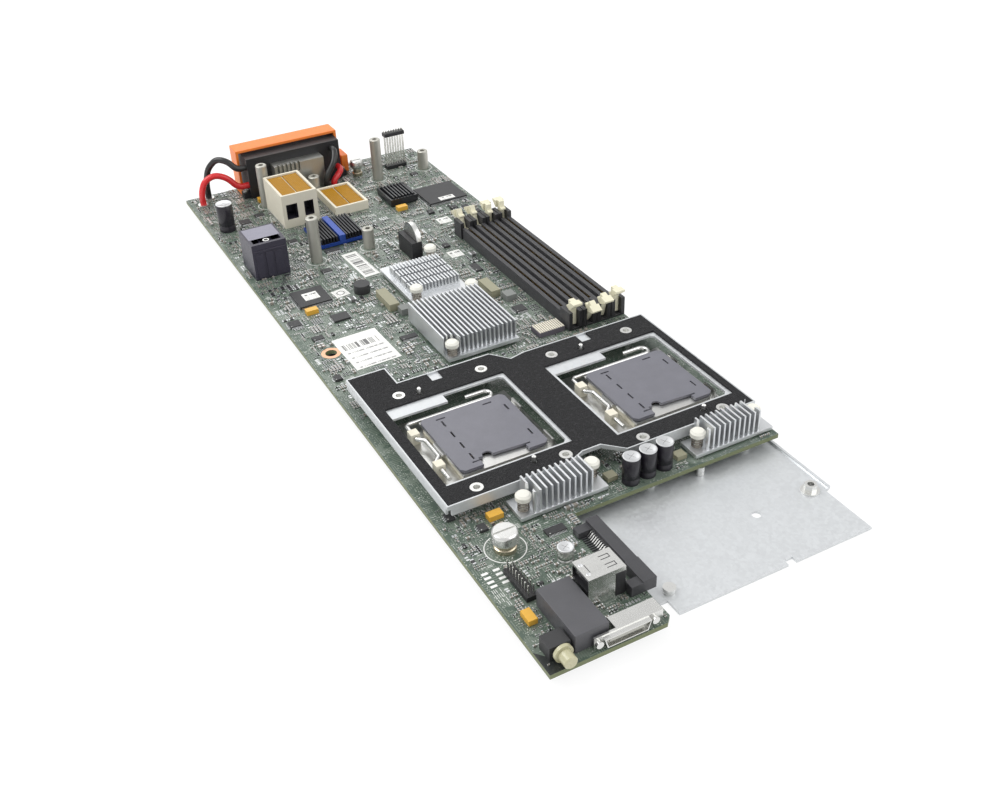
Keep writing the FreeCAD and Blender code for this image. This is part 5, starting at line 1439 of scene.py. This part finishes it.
    def build(self) -> None:
        """Dresses the board and adds what is soldered and printed on it."""
        chips = Patches("chip_bodies", (0.035, 0.035, 0.037), (
            ((60, 284, 66.2, 305), KHAKI, 0.0), ((118, 267, 124, 284), KHAKI, 0.0),
            ((64, 276, 70, 282), GREY_LID, 0.0), ((123.5, 258, 130, 265), GREY_LID, 0.0),
            ((5.6, 26, 9.8, 33.2), TANTALUM, 0.0), ((119.5, 213, 136, 223), BUZZER, 0.0),
            ((82.5, 86.6, 88, 91.6), KHAKI, 0.0), ((119.5, 83.2, 125, 88.2), KHAKI, 0.0)))
        capacitors = Patches("capacitor_bodies", (0.016, 0.014, 0.020), (
            ((21, 87, 33, 97), TANTALUM, 0.0), ((16, 304, 28, 314.5), TANTALUM, 0.0),
            ((42, 468, 54, 479), TANTALUM, 0.0), ((119, 403, 131, 413), TANTALUM, 0.0),
            ((34.5, 48.5, 43, 57), CAN, 1.0)), roughness=0.3)
        self.dress_all(("main_board", Laminate("board_laminate")), ("board_chips", chips, 0.15),
                       ("capacitors", capacitors))
        chance = np.random.default_rng(self.seed)
        free = self.free()
        self.chips(free, chance)
        self.small_parts(free, chance)
        self.labels()
        self.cans()
        ribs = [(120.4 + 1.35 * step, 218.0, 3.0) for step in range(12)]
        self.piece("ribbed_connector", bricks(ribs, [(0.8, 9.4, 0.5)] * len(ribs), bevel=0.2), CREAM)
        foot = [(0.0, 0.0), (2.2, 0.0), (2.2, 4.8), (0.0, 4.8)]
        self.piece("edge_spacer", lathed(foot, [129.0, 77.6, -7.3], 32), PLATED, smooth=True)


@dataclass
class Cage(Assembly):
    """Zinc frame round the two processor sockets with its foam gasket and posts."""

    def build(self) -> None:
        """Dresses the cage's nodes."""
        self.dress_all(("cage_frame", ZINC), ("cage_gasket", Foam("gasket_foam")),
                       ("cage_standoffs", PLATED, 0.15))


@dataclass
class Socket(Assembly):
    """One processor socket: bed, stamped frame, load plate, lever and dust cap."""

    side: str = "left"
    bed: float = 1.6
    count: int = 33
    pitch: float = 1.09
    opening: float = 6.2
    heading: float = 0.78

    def contacts(self) -> None:
        """Adds the field of sprung contacts in the bed, with the open square in its middle."""
        middle = sum(PLAN.box(f"socket_frame_{self.side}"))[:2] / 2
        step = (np.arange(self.count) - self.count // 2) * self.pitch
        x, y = (grid.reshape(-1) for grid in np.meshgrid(step, step, indexing="ij"))
        ring = np.maximum(np.abs(x), np.abs(y)) > self.opening
        x, y = x[ring], y[ring]
        roots = np.column_stack([x + middle[0], y + middle[1], np.full(len(x), self.bed)])
        profile = [(-0.3, 0.0), (0.0, 0.35), (0.35, 0.75)]
        arms = legs(roots, np.full(len(x), self.heading), profile, 0.3, 0.08)
        self.piece(f"socket_contacts_{self.side}", arms, GOLD)

    def build(self) -> None:
        """Dresses the socket's nodes."""
        side = self.side
        self.dress_all((f"socket_body_{side}", CREAM, 0.12), (f"socket_frame_{side}", STAMPED),
                       (f"load_plate_{side}", STAMPED), (f"load_lever_{side}", WIRE_STEEL, 0.0, ROUND),
                       (f"socket_cap_{side}", CAP))
        self.contacts()


@dataclass
class HeatSinks(Assembly):
    """Finned heat sinks and the sprung push-pins that hold them."""

    wire: float = 0.3
    coil: float = 2.55
    turns: float = 5.5
    spring_reach: float = 7.0

    def build(self) -> None:
        """Dresses the heat sinks' nodes and winds the springs."""
        self.dress_all(
            ("regulator_heatsink_left", EXTRUSION, 0.12), ("regulator_heatsink_right", EXTRUSION, 0.12),
            ("chipset_heatsink_front", EXTRUSION), ("chipset_heatsink_rear", EXTRUSION),
            ("heatsink_pins", PIN_WHITE, 0.0, ROUND), ("black_heatsink", DARK_FINS),
            ("blue_heatsink", FramedFins("blue_frame", "blue_heatsink")))
        coils = [helix(x, y, low + 0.32, high - 0.32, self.coil, self.turns, self.wire)
                 for x, y, low, high in self.clumps("heatsink_springs", self.spring_reach)]
        self.piece("heatsink_springs_wound", joined(coils), SPRING, smooth=True,
                   replaces=["heatsink_springs"])


@dataclass
class Memory(Assembly):
    """Four memory sockets with a latch at each end."""

    count: int = 4
    pitch: float = 1.0
    slot: float = 1.8
    end: float = 12.0
    bed: float = 2.2
    contact: Tuple[float, float, float] = (0.2, 0.5, 4.9)

    def build(self) -> None:
        """Dresses the sockets and their latches, and lines each slot with contacts."""
        for number in range(1, self.count + 1):
            node = f"memory_socket_{number}"
            start, stop = PLAN.box(node)
            x = (start[0] + stop[0]) / 2
            y = np.arange(start[1] + self.end, stop[1] - self.end, self.pitch)
            shift = (self.slot - self.contact[0]) / 2
            spots = np.concatenate([np.column_stack([np.full(len(y), x + side * shift), y,
                                                     np.full(len(y), self.bed)]) for side in (-1, 1)])
            contacts = slabs(spots, np.tile(self.contact, (len(spots), 1)))
            self.dress(node, RAIL)
            self.piece(f"memory_contacts_{number}", contacts, GOLD)
            self.dress_all(*((f"memory_latch_{number}_{end}", IVORY, 0.3) for end in ("front", "rear")))


@dataclass
class RearEnd(Assembly):
    """Backplane connector with its guard and leads, stacking connectors, posts and receptacle."""

    tail_pitch: float = 1.27

    def tails(self, name: str, node: str) -> None:
        """Adds solder tails along both long sides of a stacking connector.

        Args:
            name: the new piece's name.
            node: the connector's node.
        """
        low, high = PLAN.box(node)
        y = np.arange(low[1] + 2, high[1] - 2, self.tail_pitch)
        sides = [(low[0] + 0.05, math.pi), (high[0] - 0.05, 0.0)]
        roots = np.concatenate([np.column_stack([np.full(len(y), x), y, np.zeros(len(y))]) for x, _ in sides])
        headings = np.concatenate([np.full(len(y), angle) for _, angle in sides])
        profile = [(0.0, 0.8), (0.25, 0.7), (0.4, 0.1), (0.9, 0.02)]
        self.piece(name, legs(roots, headings, profile, 0.5), SOLDER)

    def receptacle(self) -> None:
        """Adds the receptacle's film, its sleeve and the raised panels and ledge of its front face."""
        film = rippled((6.2, 25.8), (370.0, 385.6), 23.55, 0.12)
        self.piece("receptacle_film", film, LILAC, smooth=True)
        self.piece("receptacle_sleeve", washers([16.0, 367.2, 21.0], 1.3, 2.0, 2.2, 24), PLATED)
        panels = [(9.2, 361.9, 1.5), (15.2, 361.9, 1.0), (21.4, 361.9, 1.5), (16.0, 361.8, 18.6)]
        sizes = [(4.6, 0.5, 15.5), (4.2, 0.7, 16.5), (5.4, 0.5, 15.5), (20.6, 0.8, 0.9)]
        self.piece("receptacle_panels", bricks(panels, sizes, bevel=0.2), PLUM)

    def build(self) -> None:
        """Dresses the nodes at the rear."""
        bay = (0.035, 0.032, 0.045)
        tall = Patches("tall_connector", CREAM.colour, (
            ((47.3, 421.25, 55.1, 433.1), bay, 0.0), ((59.8, 421.25, 66.3, 433.1), bay, 0.0)),
            heights=(5.95, 16.55))
        self.dress_all(
            ("rear_connector_body", BLACK), ("rear_connector_guard", ORANGE, 0.4),
            ("rear_connector_shield", COMB), ("rear_connector_screws", PLATED, 0.15),
            ("red_leads", RED_LEAD, 0.0, ROUND), ("black_leads", BLACK_LEAD, 0.0, ROUND),
            ("mezzanine_connector_tall", tall), ("mezzanine_connector_short", CREAM),
            ("mezzanine_covers", AMBER), ("threaded_posts", POST, 0.0, ROUND), ("power_receptacle", PLUM),
            ("battery_holder", BLACK, 0.25), ("coin_cell", PLATED, 0.25))
        for size in ("tall", "short"):
            self.tails(f"{size}_connector_tails", f"mezzanine_connector_{size}")
        self.receptacle()


@dataclass
class FrontEnd(Assembly):
    """Thumbscrews, headers and the ports of the front tongue."""

    usb_top: float = 15.4

    def usb_details(self) -> None:
        """Adds the spring slots in the stack's top, the two rivet marks and the side recess."""
        top, deep = self.usb_top, 0.02
        slots = []
        for y in (26.4, 31.6):
            slots += [((44.4, y + shift, top), (4.6, 0.4, deep)) for shift in (-1.0, 1.0)]
            slots.append(((46.6, y, top), (0.4, 2.4, deep)))
        slots.append(((34.6, 29.0, top), (0.35, 5.0, deep)))
        self.piece("usb_slots", slabs(*zip(*slots)), RESISTOR)
        dimple = [(1.0, 0.0), (0.8, 0.12), (0.45, 0.05), (0.0, 0.02)]
        dimples = lathed(dimple, [(33.4, y, top) for y in (26.0, 32.0)], 20)
        self.piece("usb_dimples", dimples, SOLDER, smooth=True)
        self.piece("usb_side_body", bricks([46.8, 22.4, 1.0], [4.6, 0.3, 12.0], bevel=0.05), BLACK)

    def build(self) -> None:
        """Dresses the nodes at the front."""
        usb = Patches("usb_shell", (0.80, 0.80, 0.78), (
            ((30, 23.1, 46.0, 34.9), (0.03, 0.03, 0.033), 0.0),), 0.24, 1.0, (1.1, 14.3))
        port = Patches("io_shell", (0.78, 0.78, 0.76), (
            ((27.2, 0.9, 44.8, 3.4), (0.42, 0.42, 0.38), 0.0),), 0.26, 1.0, (1.4, 4.9))
        self.dress_all(
            ("front_thumbscrew", PLATED), ("rear_thumbscrew", PLATED),
            ("thumbscrew_ferrules", FERRULE, 0.0, ROUND), ("usb_stack", usb), ("front_io_connector", port),
            ("pin_headers", PinStrips("header_strips", ((0.0, 2.5), (24.6, 27.1)))),
            ("drive_connector", DRIVE, 0.2), ("front_shield", GREY, 0.3),
            ("power_button", OLIVE, 0.0, ROUND))
        roots = [(57.2, 42.5 + 1.4 * row, 0.0) for row in range(13)]
        profile = [(0.0, 2.6), (1.2, 2.6), (3.4, 0.3), (6.0, 0.02)]
        tails = legs(roots, np.full(len(roots), math.pi), profile, 0.6, 0.2)
        self.piece("drive_tails", tails, PLATED)
        self.usb_details()


def main() -> None:
    """Builds the studio and every sub-assembly."""
    logging.basicConfig(level=logging.INFO, format="%(name)s %(message)s")
    assemblies = [Studio(), Tray(), Board(), Cage(), Socket(side="left"), Socket(side="right"), HeatSinks(),
                  Memory(), RearEnd(), FrontEnd()]
    for assembly in assemblies:
        LOG.info("building %s", type(assembly).__name__)
        assembly.build()


if __name__ == "__main__":
    main()
